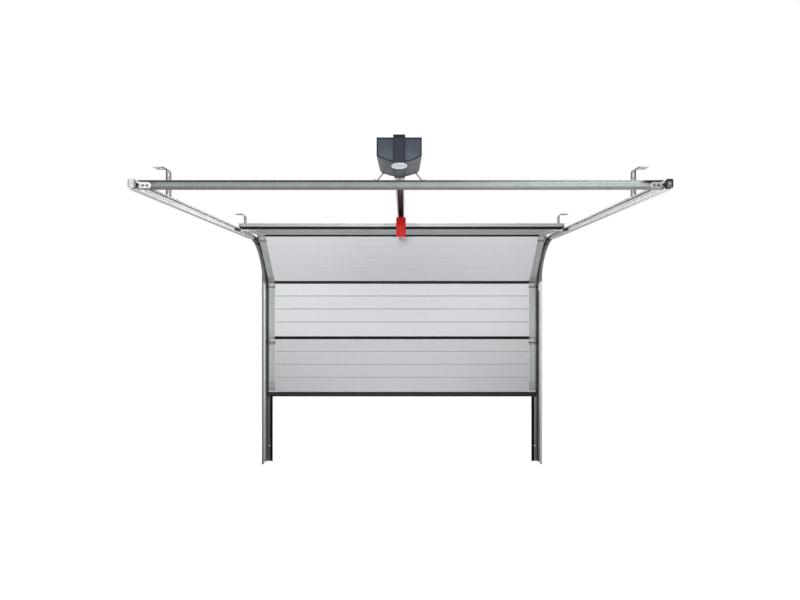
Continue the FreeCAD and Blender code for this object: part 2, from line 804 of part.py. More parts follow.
def make_edge_seals():
    """The hollow seal under the leaf, lapped on to its inner skin, and the top edge's profile
    and seal.
    """
    y, z, tilt = SECTION_FRAMES["bottom"]
    inner = "hinge_offset - bottom_seal_flap"
    outer = "outer_face - bottom_seal_setback"
    low = "-bottom_seal_height"
    bottom = new_body("bottom_seal_profile")
    shape = new_sketch(bottom, "bottom_seal_shape", "YZ_Plane")
    outline(shape, [
        (inner, "bottom_seal_rise"), (inner, "-bottom_seal_tip"),
        (inner + " + bottom_seal_tip / 2", low), (outer + " - bottom_seal_tip / 2", low),
        (outer, "-bottom_seal_tip"), (outer, "0"), ("hinge_offset", "0"),
        ("hinge_offset", "bottom_seal_rise"),
    ])
    wall = "bottom_seal_wall"
    outline(shape, [
        ("%s + %s" % (inner, wall), "-" + wall), ("%s - %s" % (outer, wall), "-" + wall),
        ("%s - %s" % (outer, wall), "-bottom_seal_tip"),
        (outer + " - bottom_seal_tip / 2 - " + wall, low + " + " + wall),
        (inner + " + bottom_seal_tip / 2 + " + wall, low + " + " + wall),
        ("%s + %s" % (inner, wall), "-bottom_seal_tip"),
    ])
    pad(bottom, shape, "2 * (half_leaf + bottom_seal_lap)", middle=True)
    keep(place(bottom, y=y, z=z, tilt=tilt), "bottom_seal")

    y, z, tilt = SECTION_FRAMES["top"]
    top = "pitch + edge_profile_height"
    back = "outer_face - edge_profile_share"
    profile = new_body("edge_profile")
    profile_shape = new_sketch(profile, "edge_profile_shape", "YZ_Plane")
    outline(profile_shape, [
        (back, "pitch"), ("outer_face", "pitch"), ("outer_face", top),
        ("outer_face - edge_profile_wall", top),
        ("outer_face - edge_profile_wall", "pitch + edge_profile_wall"),
        (back + " + edge_profile_wall", "pitch + edge_profile_wall"),
        (back + " + edge_profile_wall", top), (back, top),
    ])
    pad(profile, profile_shape, "2 * (half_leaf + edge_profile_lap)", middle=True)
    keep(place(profile, y=y, z=z, tilt=tilt), "top_edge_profile")

    seal = new_body("edge_seal")
    seal_shape = new_sketch(seal, "edge_seal_shape", "YZ_Plane")
    lip = "hinge_offset - edge_seal_drop"
    outline(seal_shape, [
        (lip, "pitch"), (back + " - joint_gap", "pitch"),
        (back + " - joint_gap", "pitch + edge_seal_height / 2"),
        (lip + " + edge_seal_height / 2", "pitch + edge_seal_height"),
        (lip, "pitch + edge_seal_height"),
    ])
    pad(seal, seal_shape, "2 * (half_leaf - edge_seal_inset)", middle=True)
    keep(place(seal, y=y, z=z, tilt=tilt), "top_seal")


def add_cheeks(body, name, face, hole_y, hole_z, width):
    """Two upright cheeks on a plate's face, drilled for a roller axle."""
    shape = new_sketch(body, name + "_cheeks", "YZ_Plane")
    outline(shape, [
        (face, hole_z + " - cheek_foot"), (face, hole_z + " + cheek_foot"),
        (hole_y, hole_z + " + cheek_nose"),
        (hole_y + " - cheek_nose", hole_z + " + cheek_nose / 2"),
        (hole_y + " - cheek_nose", hole_z + " - cheek_nose / 2"),
        (hole_y, hole_z + " - cheek_nose"),
    ])
    circle(shape, hole_y, hole_z, "axle_bore")
    cheek = pad(body, shape, "cheek_sheet")
    row_of(body, cheek, shape, "N_Axis", width + " - cheek_sheet", "2")


def make_hinge(number, lower, upper, y, z, roller_y):
    """A joint's right-hand hinge: two leaves, a pin, and cheeks for the roller on the lower leaf."""
    skin = "hinge_offset - cap_sheet"
    lower_leaf = new_body("hinge_%s_lower" % number)
    plate = new_sketch(lower_leaf, lower_leaf.Name + "_plate", "XZ_Plane", "-(%s)" % skin)
    outline(plate, [
        ("0", "-hinge_below"), ("hinge_width", "-hinge_below"), ("hinge_width", "0"),
        ("hinge_width - knuckle_length", "0"),
        ("hinge_width - knuckle_length", "-hinge_shoulder"),
        ("knuckle_length", "-hinge_shoulder"), ("knuckle_length", "0"), ("0", "0"),
    ])
    pad(lower_leaf, plate, "hinge_sheet")
    knuckle = new_sketch(lower_leaf, lower_leaf.Name + "_knuckle", "YZ_Plane")
    circle(knuckle, "0", "0", "knuckle_radius")
    circle(knuckle, "0", "0", "pin_bore")
    ring = pad(lower_leaf, knuckle, "knuckle_length")
    row_of(lower_leaf, ring, knuckle, "N_Axis", "hinge_width - knuckle_length", "2")
    add_cheeks(lower_leaf, lower_leaf.Name, "%s - hinge_sheet" % skin, roller_y,
               "-roller_below_joint", "hinge_width")
    place(lower_leaf, x="hinge_x", y=y, z=z, tilt=lower)

    upper_leaf = new_body("hinge_%s_upper" % number)
    tongue = "knuckle_length + knuckle_gap"
    plate = new_sketch(upper_leaf, upper_leaf.Name + "_plate", "XZ_Plane", "-(%s)" % skin)
    outline(plate, [
        ("0", "hinge_above"), ("0", "hinge_shoulder"), (tongue, "hinge_shoulder"), (tongue, "0"),
        ("hinge_width - knuckle_length - knuckle_gap", "0"),
        ("hinge_width - knuckle_length - knuckle_gap", "hinge_shoulder"),
        ("hinge_width", "hinge_shoulder"), ("hinge_width", "hinge_above"),
    ])
    pad(upper_leaf, plate, "hinge_sheet")
    knuckle = new_sketch(upper_leaf, upper_leaf.Name + "_knuckle", "YZ_Plane", tongue)
    circle(knuckle, "0", "0", "knuckle_radius")
    circle(knuckle, "0", "0", "pin_bore")
    pad(upper_leaf, knuckle, "hinge_width - 2 * (%s)" % tongue)
    place(upper_leaf, x="hinge_x", y=y, z=z, tilt=upper)

    pin = doc.addObject("Part::Cylinder", "hinge_%s_pin" % number)
    pin.setExpression("Radius", formula("pin_radius"))
    pin.setExpression("Height", formula("hinge_width"))
    pin.Placement = FreeCAD.Placement(
        FreeCAD.Vector(), FreeCAD.Rotation(FreeCAD.Vector(0, 1, 0), 90))
    place(pin, x="hinge_x", y=y, z=z)
    return [lower_leaf, upper_leaf, pin]


def make_hinges():
    straight = "-roller_out"
    pair("first_joint_hinges", make_hinge("1", None, None, "hinge_y", "joint1_z", straight))
    pair("second_joint_hinges", make_hinge(
        "2", None, "tilt3", "hinge_y", "joint2_z", "roller2_y - hinge_y"))
    pair("third_joint_hinges", make_hinge(
        "3", "tilt3", "tilt4", "joint3_y", "joint3_z", straight))


def make_end_brackets():
    """The plates at the leaf's lower and upper corners, with cheeks for their rollers."""
    skin = "hinge_offset - cap_sheet"
    face = skin + " - end_bracket_sheet"
    for name, kind, low, hole_y, hole_z in (
        ("bottom_brackets", "bottom", "band_height + cap_margin", "-roller_out",
         "bottom_roller_rise"),
        ("top_brackets", "top", "pitch - band_height - cap_margin - end_bracket_height",
         "top_roller_y", "top_roller_z"),
    ):
        body = new_body(kind + "_bracket")
        plate = new_sketch(body, kind + "_bracket_plate", "XZ_Plane", "-(%s)" % skin)
        rectangle(plate, "hinge_width - end_bracket_width", low, "hinge_width",
                  low + " + end_bracket_height")
        pad(body, plate, "end_bracket_sheet")
        add_cheeks(body, kind + "_bracket", face, hole_y, hole_z, "hinge_width")
        y, z, tilt = SECTION_FRAMES[kind]
        pair(name, [place(body, x="hinge_x", y=y, z=z, tilt=tilt)])


def make_roller(number, y, z):
    """A wheel with a tapered rim, its hub and its axle, turned about the axle's line."""
    body = new_body("roller_%d" % number)
    shape = new_sketch(body, "roller_%d_shape" % number, "XY_Plane")
    wheel_start = "axle_length - roller_width"
    hub_start = wheel_start + " - roller_hub_length"
    outline(shape, [
        ("0", "0"), ("axle_length", "0"), ("axle_length", "roller_radius - roller_taper"),
        ("axle_length - roller_taper", "roller_radius"), (wheel_start, "roller_radius"),
        (wheel_start, "roller_hub_radius"), (hub_start, "roller_hub_radius"),
        (hub_start, "axle_radius"), ("0", "axle_radius"),
    ])
    spin = body.newObject("PartDesign::Revolution", "roller_%d_turned" % number)
    spin.Profile = shape
    spin.ReferenceAxis = (shape, ["H_Axis"])
    spin.Angle = 360
    return place(body, x="axle_x", y=y, z=z)


def make_rollers():
    """Five rollers a side, each centred on the line that the tracks set."""
    roller3_y = "joint3_y - roller_out * cos(tilt3) + roller_below_joint * sin(tilt3)"
    roller3_z = "joint3_z - roller_out * sin(tilt3) - roller_below_joint * cos(tilt3)"
    roller4_y = "joint3_y + top_roller_y * cos(tilt4) - top_roller_z * sin(tilt4)"
    roller4_z = "joint3_z + top_roller_y * sin(tilt4) + top_roller_z * cos(tilt4)"
    places = [
        ("track_y", "leaf_bottom_z + bottom_roller_rise"),
        ("track_y", "joint1_z - roller_below_joint"),
        ("roller2_y", "roller2_z"),
        (roller3_y, roller3_z),
        (roller4_y, roller4_z),
    ]
    rollers = [make_roller(number, y, z) for number, (y, z) in enumerate(places)]
    group("right_rollers", rollers)
    group("left_rollers", [mirrored(roller) for roller in rollers])


def make_cross_bar():
    """The channel between the rails' rear ends, its brackets, and the rails' buffers."""
    bar = new_body("cross_bar")
    shape = new_sketch(bar, "cross_bar_shape", "YZ_Plane")
    web = "rail_end_y + cross_bar_depth"
    high = "cross_bar_height / 2"
    outline(shape, [
        ("rail_end_y", "-" + high), (web, "-" + high), (web, high), ("rail_end_y", high),
        ("rail_end_y", high + " - cross_bar_sheet"),
        (web + " - cross_bar_sheet", high + " - cross_bar_sheet"),
        (web + " - cross_bar_sheet", "cross_bar_sheet - " + high),
        ("rail_end_y", "cross_bar_sheet - " + high),
    ])
    pad(bar, shape, "2 * (lip_x - cross_bracket_sheet)", middle=True)
    keep(place(bar, z="cross_bar_z"), "rear_cross_bar")

    bracket = new_body("cross_bracket")
    face = new_sketch(bracket, "cross_bracket_face", "XZ_Plane")
    half = "cross_bracket_plate / 2"
    inner = "-cross_bracket_width"
    outline(face, [
        (inner, "0", half), ("%s + %s" % (inner, half), "-" + half), ("0", "-" + half),
        ("0", half), ("%s + %s" % (inner, half), half, half),
    ])
    pad(bracket, face, "cross_bracket_sheet")
    bolt = new_sketch(bracket, "cross_bracket_bolt_hole", "XZ_Plane")
    circle(bolt, inner + " + cross_bracket_bolt_first", "0", "cross_bracket_bolt")
    hole = pocket(bracket, bolt, "4 * cross_bracket_sheet")
    row_of(bracket, hole, bolt, "H_Axis", "cross_bracket_bolt_pitch", "2")
    side = new_sketch(bracket, "cross_bracket_side", "XY_Plane", "-cross_bracket_height / 2")
    rectangle(side, "-cross_bracket_sheet", "-cross_bracket_sheet", "0", "cross_bracket_return")
    pad(bracket, side, "cross_bracket_height")
    pair("cross_bar_brackets", [place(bracket, x="lip_x", y=web + " - cross_bar_sheet",
                                      z="cross_bar_z")])

    buffer = new_body("buffer")
    block = new_sketch(buffer, "buffer_shape", "XZ_Plane")
    corner = "buffer_corner"
    high = "buffer_height / 2"
    outline(block, [
        (corner, "-" + high), ("buffer_width - " + corner, "-" + high, corner),
        ("buffer_width", "-%s + %s" % (high, corner)), ("buffer_width", high + " - " + corner, corner),
        ("buffer_width - " + corner, high), (corner, high, corner),
        ("0", high + " - " + corner), ("0", "-%s + %s" % (high, corner), corner),
    ])
    pad(buffer, block, "buffer_depth")
    pair("rail_buffers", [place(buffer, x="lip_x + buffer_inset", y="rail_end_y",
                                z="rail_z + buffer_rise")])


def make_hanger(name, y, top, slot_count):
    """A slotted strap on the rail's outer side, with a flange bent outwards at its top."""
    body = new_body(name)
    shape = new_sketch(body, name + "_shape", "XZ_Plane")
    foot = "rail_z - hanger_below_rail"
    bend_z = top + " - hanger_bend"
    outline(shape, [
        ("0", foot), ("hanger_sheet", foot),
        ("hanger_sheet", bend_z, "-(hanger_bend - hanger_sheet)"),
        ("hanger_bend", top + " - hanger_sheet"), ("hanger_flange", top + " - hanger_sheet"),
        ("hanger_flange", top), ("hanger_bend", top, "hanger_bend"),
        ("0", bend_z),
    ])
    pad(body, shape, "hanger_width", middle=True)
    slots = new_sketch(body, name + "_slots", "YZ_Plane")
    slot(slots, "0", foot + " + hanger_slot_first",
         foot + " + hanger_slot_first + hanger_slot_length - hanger_slot_width",
         "hanger_slot_width / 2")
    cut = pocket(body, slots, "4 * hanger_sheet")
    row_of(body, cut, slots, "V_Axis", "hanger_slot_pitch * (%s - 1)" % slot_count, slot_count)
    opening = new_sketch(body, name + "_ceiling_slot", "XY_Plane", top)
    half = "ceiling_slot_width / 2"
    run = "(ceiling_slot_length - ceiling_slot_width) / 2"
    left = "ceiling_slot_reach - " + run
    right = "ceiling_slot_reach + " + run
    outline(opening, [
        (left, "-" + half), (right, "-" + half, half), ("%s + %s" % (right, half), "0", half),
        (right, half), (left, half, half), ("%s - %s" % (left, half), "0", half),
    ])
    pocket(body, opening, "4 * hanger_sheet")
    return place(body, x="web_x", y=y)


def make_hangers():
    pair("front_hangers", [make_hanger("front_hanger", "curve_y - hanger_front",
                                       "ceiling_z - hanger_front_drop", "hanger_slot_count - 1")])
    pair("rear_hangers", [make_hanger("rear_hanger", "rail_end_y + hanger_rear",
                                      "ceiling_z", "hanger_slot_count")])


def head_corners(width, crown):
    """The operator's cross-section: straight top and sides, crowned underneath."""
    half = width + " / 2"
    radius = "((%s) ^ 2 + %s ^ 2) / (2 * %s)" % (half, crown, crown)
    return [
        ("-" + half, "-head_side", radius), (half, "-head_side"), (half, "0"), ("-" + half, "0"),
    ]


def make_operator():
    """The motor head, the strap that hangs it from the ceiling, and its bare oval plate."""
    head = new_body("head")
    far = new_sketch(head, "head_far_shape", "XZ_Plane")
    outline(far, head_corners("head_far_width", "head_far_crown"))
    near = new_sketch(head, "head_near_shape", "XZ_Plane", "head_length")
    outline(near, head_corners("head_near_width", "head_near_crown"))
    loft = head.newObject("PartDesign::AdditiveLoft", "head_loft")
    loft.Profile = far
    loft.Sections = [near]
    doc.recompute()
    rounding = head.newObject("PartDesign::Fillet", "head_rounding")
    rounding.Base = (loft, near_edges(loft.Shape))
    rounding.setExpression("Radius", formula("head_edge_round"))
    keep(place(head, x="operator_x", y="head_far_y", z="head_top_z"), "operator_housing")

    band = box("strap_block",
               ("operator_x - strap_width / 2", "head_far_y - head_length - strap_sheet",
                "head_low_z - strap_sheet"),
               ("operator_x + strap_width / 2", "head_far_y", "ceiling_z"))
    strap = doc.addObject("Part::Cut", "strap")
    strap.Base = band
    strap.Tool = head
    keep(strap, "operator_strap")

    plate = new_body("badge")
    shape = new_sketch(plate, "badge_shape", "XY_Plane")
    ellipse(shape, "badge_half_length", "badge_half_width")
    pad(plate, shape, "badge_sheet", backwards=True)
    near = "head_far_y - head_length - strap_sheet + badge_setback"
    keep(place(plate, x="operator_x", y=near + " + badge_half_length",
               z="head_low_z - strap_sheet"), "operator_badge")


def near_edges(shape):
    """Names of the housing's near upright and lower edges, which are moulded round."""
    low_y = shape.BoundBox.YMin
    names = []
    for index, edge in enumerate(shape.Edges, start=1):
        box_of = edge.BoundBox
        on_top = box_of.ZMin > shape.BoundBox.ZMax - amount("running_gap")
        if box_of.YMax < low_y + amount("running_gap") and not on_top:
            names.append("Edge%d" % index)
    return names


def ellipse(sketch, half_length, half_width):
    """An ellipse about the sketch's origin, longer along the sketch's upright axis."""
    centre = FreeCAD.Vector(0, 0, 0)
    tip = FreeCAD.Vector(0, amount(half_length), 0)
    side = FreeCAD.Vector(-amount(half_width), 0, 0)
    index = sketch.addGeometry(Part.Ellipse(tip, side, centre), False)
    sketch.exposeInternalGeometry(index)
    fix_point(sketch, index, 3, "0", "0")
    fix_point(sketch, index + 1, 1, "0", half_length)
    number = sketch.addConstraint(Sketcher.Constraint(
        "Distance", index + 2, 2 * amount(half_width)))
    sketch.setExpression("Constraints[%d]" % number, formula("2 * " + half_width))


def make_boom():
    """The boom, open downwards, its bracket on the lintel and its clamp at the head."""
    boom = new_body("boom_profile")
    shape = new_sketch(boom, "boom_shape", "XZ_Plane")
    corners = channel("boom_z", "boom_z + boom_height", "boom_width / 2", "boom_sheet",
                      "boom_lip", "+")
    outline(shape, [(across, up) for up, across in corners])
    pad(boom, shape, "boom_start_y - head_far_y")
    keep(place(boom, x="operator_x", y="boom_start_y"), "boom")

    bracket = new_body("boom_bracket")
    plate = new_sketch(bracket, "boom_bracket_plate", "XZ_Plane", "frame_sheet")
    low = "boom_z - wall_bracket_below"
    rectangle(plate, "-wall_bracket_width / 2", low, "wall_bracket_width / 2",
              low + " + wall_bracket_height - lintel_lip - 2 * frame_sheet")
    pad(bracket, plate, "wall_bracket_sheet")
    ears = new_sketch(bracket, "boom_bracket_ears", "XZ_Plane", "frame_sheet")
    rectangle(ears, "boom_width / 2", "boom_z", "boom_width / 2 + wall_bracket_sheet",
              "boom_z + boom_height")
    rectangle(ears, "-boom_width / 2 - wall_bracket_sheet", "boom_z", "-boom_width / 2",
              "boom_z + boom_height")
    pad(bracket, ears, "wall_bracket_ear")
    keep(place(bracket, x="operator_x"), "boom_wall_bracket")

    clamp = new_body("clamp")
    saddle = new_sketch(clamp, "clamp_saddle", "XY_Plane")
    rectangle(saddle, "-clamp_width / 2", "-clamp_length / 2", "clamp_width / 2", "clamp_length / 2")
    pad(clamp, saddle, "clamp_plate", backwards=True)
    barrel = new_sketch(clamp, "clamp_barrels", "XY_Plane")
    circle(barrel, "clamp_barrel_spread / 2", "0", "clamp_barrel_radius")
    circle(barrel, "-clamp_barrel_spread / 2", "0", "clamp_barrel_radius")
    pad(clamp, barrel, "clamp_plate + clamp_barrel_height", backwards=True)
    keep(place(clamp, x="operator_x", y="head_far_y + clamp_setback", z="boom_z"), "boom_clamp")


def make_stays():
    """Slanting rods from the head's far lower corners to feet on the cross bar."""
    tab_x = amount("stay_tab_x")
    tab_y = amount("head_far_y")
    tab_z = amount("head_top_z - head_side - stay_tab_drop")
    foot_x = amount("stay_foot_x")
    foot_y = amount("rail_end_y + stay_foot_inset")
    foot_z = amount("cross_bar_z + cross_bar_height / 2")
    sheet = amount("stay_sheet")
    width = amount("stay_tab_width")
    foot = amount("stay_foot")
    foot_length = foot + amount("stay_foot_reach")
    tab = Part.makeBox(width, sheet, amount("stay_tab_height"),
                       FreeCAD.Vector(tab_x - width / 2, tab_y, tab_z))
    pad_plate = Part.makeBox(foot_length, foot, sheet,
                             FreeCAD.Vector(foot_x - foot / 2, foot_y - foot / 2, foot_z))
    start = FreeCAD.Vector(tab_x, tab_y + sheet / 2, tab_z + sheet)
    run = FreeCAD.Vector(foot_x, foot_y, foot_z + sheet) - start
    rod = Part.makeCylinder(amount("stay_radius"), run.Length, start, run)
    below_foot = Part.makeBox(4 * foot, 4 * foot, foot,
                              FreeCAD.Vector(foot_x - 2 * foot, foot_y - 2 * foot, foot_z - foot))
    shape = tab.fuse([rod, pad_plate]).cut(below_foot).removeSplitter()
    middle = FreeCAD.Vector(amount("operator_x"), 0, 0)
    stays = []
    for side in (shape, shape.mirror(FreeCAD.Vector(), X_AXIS)):
        stay = doc.addObject("Part::Feature", "stay")
        stay.Shape = side.translated(middle)
        stays.append(stay)
    group("operator_stays", stays)


def make_carriage():
    """The sliding carriage in the boom and the fork that takes the door arm."""
    body = new_body("carriage_block")
    shape = new_sketch(body, "carriage_shape", "XZ_Plane")
    slider = "slider_width / 2"
    neck = "neck_width / 2"
    shoe = "shoe_width / 2"
    shoe_top = "boom_z - shoe_drop + shoe_height"
    shoe_low = "boom_z - shoe_drop"
    top = "slider_z + slider_height"
    outline(shape, [
        ("-" + shoe, shoe_low), (shoe, shoe_low), (shoe, shoe_top), (neck, shoe_top),
        (neck, "slider_z"), (slider, "slider_z"), (slider, top), ("-" + slider, top),
        ("-" + slider, "slider_z"), ("-" + neck, "slider_z"), ("-" + neck, shoe_top),
        ("-" + shoe, shoe_top),
    ])
    pad(body, shape, "carriage_length", backwards=True)
    ear = new_sketch(body, "carriage_ear", "YZ_Plane", "-(arm_sheet / 2 + arm_gap + ear_sheet)")
    centre = "ear_pin_setback"
    low = "ear_pin_z - ear_length / 2"
    outline(ear, [
        (centre + " - ear_length / 2", shoe_low), (centre + " - ear_length / 2", "ear_pin_z"),
        (centre, low), (centre + " + ear_length / 2", "ear_pin_z"),
        (centre + " + ear_length / 2", shoe_low),
    ])
    circle(ear, centre, "ear_pin_z", "arm_pin_bore")
    fork = pad(body, ear, "ear_sheet")
    row_of(body, fork, ear, "N_Axis", "arm_sheet + 2 * arm_gap + ear_sheet", "2")
    keep(place(body, x="operator_x", y="carriage_y"), "carriage")


def make_door_arm():
    """The cranked arm from the carriage, round the leaf's top edge, to the leaf's inner skin."""
    body = new_body("arm")
    shape = new_sketch(body, "arm_shape", "YZ_Plane")
    half = "arm_width / 2"
    near = "ear_pin_y - " + half
    far = "arm_pin_y + " + half
    outline(shape, [
        (near, "ear_pin_z + " + half), (near, "arm_pin_z - " + half),
        (far, "arm_pin_z - " + half), (far, "arm_pin_z + " + half),
        ("ear_pin_y + " + half, "arm_pin_z + " + half),
        ("ear_pin_y + " + half, "ear_pin_z + " + half),
    ])
    circle(shape, "ear_pin_y", "ear_pin_z", "arm_pin_bore")
    circle(shape, "arm_pin_y", "arm_pin_z", "arm_pin_bore")
    pad(body, shape, "arm_sheet", middle=True)
    pins = []
    for y, z in (("ear_pin_y", "ear_pin_z"), ("arm_pin_y", "arm_pin_z")):
        pin = doc.addObject("Part::Cylinder", "arm_pin")
        pin.setExpression("Radius", formula("arm_pin_radius"))
        pin.setExpression("Height", formula("arm_pin_length"))
        pin.Placement = FreeCAD.Placement(
            FreeCAD.Vector(), FreeCAD.Rotation(FreeCAD.Vector(0, 1, 0), 90))
        pins.append(place(pin, x="operator_x - arm_pin_length / 2", y=y, z=z))
    group("door_arm", [place(body, x="operator_x")] + pins)

    bracket = new_body("arm_bracket")
    plate = new_sketch(bracket, "arm_bracket_plate", "XZ_Plane", "-hinge_offset")
    high = "pitch - arm_bracket_margin"
    rectangle(plate, "-arm_bracket_width / 2", high + " - arm_bracket_length",
              "arm_bracket_width / 2", high)
    pad(bracket, plate, "arm_bracket_sheet")
    ear = new_sketch(bracket, "arm_bracket_ear", "YZ_Plane",
                     "-(arm_sheet / 2 + arm_gap + arm_bracket_sheet)")
    face = "hinge_offset - arm_bracket_sheet"
    outline(ear, [
        (face, "arm_local_z - ear_length / 2"), (face, "arm_local_z + ear_length / 2"),
        ("arm_local_y", "arm_local_z + ear_length / 3"),
        ("arm_local_y - ear_length / 3", "arm_local_z"),
        ("arm_local_y", "arm_local_z - ear_length / 3"),
    ])
    circle(ear, "arm_local_y", "arm_local_z", "arm_pin_bore")
    fork = pad(bracket, ear, "arm_bracket_sheet")
    row_of(bracket, fork, ear, "N_Axis", "arm_sheet + 2 * arm_gap + arm_bracket_sheet", "2")
    y, z, tilt = SECTION_FRAMES["top"]
    keep(place(bracket, x="operator_x", y=y, z=z, tilt=tilt), "door_arm_bracket")


def make_release_lever():
    """The red folded plate on the carriage's near end, with a small eye below it."""
    body = new_body("lever")
    shape = new_sketch(body, "lever_shape", "XY_Plane")
    half = "lever_width / 2"
    inner = "lever_width / 2 - lever_sheet"
    outline(shape, [
        ("-" + half, "0"), (half, "0"), (half, "lever_return"), (inner, "lever_return"),
        (inner, "lever_sheet"), ("-(%s)" % inner, "lever_sheet"),
        ("-(%s)" % inner, "lever_return"), ("-" + half, "lever_return"),
    ])
    pad(body, shape, "lever_height")
    eye = new_sketch(body, "lever_eye", "XZ_Plane", "-lever_sheet")
    left = "-hook_shift - hook_width / 2"
    right = "-hook_shift + hook_width / 2"
    outline(eye, [
        (left, "lever_sheet"), (left, "-hook_height + hook_width / 2", "hook_width / 2"),
        ("-hook_shift", "-hook_height", "hook_width / 2"),
        (right, "-hook_height + hook_width / 2"), (right, "lever_sheet"),
    ])
    circle(eye, "-hook_shift", "-hook_height + hook_width / 2", "hook_hole")
    pad(body, eye, "lever_sheet")
    keep(place(body, x="operator_x", y="lever_y", z="boom_z - lever_height"), "release_lever")


def make_belt():
    """The toothed belt's closed loop in the boom, and the pulley at each of its ends."""
    belt = new_body("belt")
    shape = new_sketch(belt, "belt_shape", "XY_Plane")
    wall_end = "boom_start_y - belt_end_gap"
    head_end = "head_far_y + belt_end_gap"
    for radius in ("belt_half_spread", "belt_half_spread - belt_sheet"):
        outline(shape, [
            (radius, head_end), (radius, wall_end, radius),
            ("0", "%s + %s" % (wall_end, radius), radius), ("-(%s)" % radius, wall_end),
            ("-(%s)" % radius, head_end, radius), ("0", "%s - (%s)" % (head_end, radius), radius),
        ])
    pad(belt, shape, "belt_height")
    place(belt, x="operator_x", z="belt_z")
    pulleys = []
    for y in (wall_end, head_end):
        pulley = doc.addObject("Part::Cylinder", "pulley")
        pulley.setExpression("Radius", formula("belt_half_spread - belt_sheet - running_gap"))
        pulley.setExpression("Height", formula("boom_z + boom_height - boom_sheet - belt_z"))
        pulleys.append(place(pulley, x="operator_x", y=y, z="belt_z"))
    group("drive_belt", [belt] + pulleys)


def check_model():
    """Stop if any object failed or any sub-part has no sound solid."""
    doc.recompute()
    for item in doc.Objects:
        if "Invalid" in item.State or "Error" in item.State:
            raise RuntimeError("%s did not rebuild: %s" % (item.Name, item.State))
    for item in sub_parts:
        if item.Shape.isNull() or not item.Shape.isValid() or not item.Shape.Solids:
            raise RuntimeError("%s has no sound solid" % item.Label)


def write_parts():
    os.makedirs("parts", exist_ok=True)
    for item in sub_parts:
        item.Shape.exportStep("parts/%s.step" % item.Label)
        print("%-24s %2d solids" % (item.Label, len(item.Shape.Solids)))


make_posts()
make_lintel()
make_frame_seals()
make_tracks()
make_track_plates()
make_leaf()
make_joint_seals()
make_edge_seals()
make_hinges()
make_end_brackets()
make_rollers()
make_cross_bar()
make_hangers()
make_operator()
make_boom()
make_stays()
make_carriage()
make_door_arm()
make_release_lever()
make_belt()
check_model()
write_parts()
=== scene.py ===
import math

import bpy
from mathutils import Matrix, Vector


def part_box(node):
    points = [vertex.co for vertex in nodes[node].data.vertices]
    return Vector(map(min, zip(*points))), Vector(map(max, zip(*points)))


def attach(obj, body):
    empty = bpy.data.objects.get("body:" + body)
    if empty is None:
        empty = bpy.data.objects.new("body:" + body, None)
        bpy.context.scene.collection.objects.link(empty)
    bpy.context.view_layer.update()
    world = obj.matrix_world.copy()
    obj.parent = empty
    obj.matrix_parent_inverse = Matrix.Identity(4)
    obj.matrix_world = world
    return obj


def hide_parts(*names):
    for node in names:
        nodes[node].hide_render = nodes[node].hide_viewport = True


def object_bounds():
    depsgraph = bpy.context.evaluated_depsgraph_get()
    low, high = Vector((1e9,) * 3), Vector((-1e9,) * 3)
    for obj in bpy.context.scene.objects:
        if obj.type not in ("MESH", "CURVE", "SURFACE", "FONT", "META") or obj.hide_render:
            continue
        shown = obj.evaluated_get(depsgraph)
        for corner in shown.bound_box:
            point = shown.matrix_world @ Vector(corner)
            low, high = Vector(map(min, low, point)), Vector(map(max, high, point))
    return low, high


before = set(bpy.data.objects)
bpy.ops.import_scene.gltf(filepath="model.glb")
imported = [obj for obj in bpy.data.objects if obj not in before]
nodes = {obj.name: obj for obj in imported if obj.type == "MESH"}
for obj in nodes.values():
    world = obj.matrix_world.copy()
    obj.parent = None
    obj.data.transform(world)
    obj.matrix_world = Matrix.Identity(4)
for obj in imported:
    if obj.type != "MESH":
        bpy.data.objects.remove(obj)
cad_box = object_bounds()

MM = 0.001


def reach(node, axis):
    """The least and the greatest place of a node along one axis."""
    return [corner["XYZ".index(axis)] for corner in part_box(node)]


def middle_of(node, axis):
    """The middle of a node along one axis."""
    return sum(reach(node, axis)) / 2


# The photograph's view: a level camera in the room, at a height of 1.53 m. The focal length and
# the shift of the view's centre are in pixels of the photograph's width, as that width is.
CAMERA_DISTANCE = 4.95
CAMERA_SIDE = 0.015
CAMERA_HEIGHT = 1.531
FOCAL_PIXELS = 517.0
PHOTO_WIDTH = 800.0
VIEW_CENTRE_SHIFT = (3.6, 2.5)
SENSOR = 36.0

# The frame, the tracks and what hangs on them, on the right, which the left side mirrors.
FLOOR_Z = cad_box[0][2]
HALF_FRAME = reach("right_post", "X")[1]
POST_LIP_Y = reach("right_post", "Y")[0]
LIP_X, WEB_X = reach("right_rail", "X")
RAIL_END_Y, CURVE_END_Y = reach("right_rail", "Y")
RAIL_Z = middle_of("right_rail", "Z")
TRACK_HALF = RAIL_Z - reach("right_rail", "Z")[0]
TRACK_Y = middle_of("right_vertical_track", "Y")
CURVE_Z = reach("right_vertical_track", "Z")[1]
TRACK_RADIUS = RAIL_Z - CURVE_Z
CURVE_Y = TRACK_Y - TRACK_RADIUS
FRONT_HANGER_Y = middle_of("front_hangers", "Y")
REAR_HANGER_Y = middle_of("rear_hangers", "Y")
BAR_Z = middle_of("rear_cross_bar", "Z")

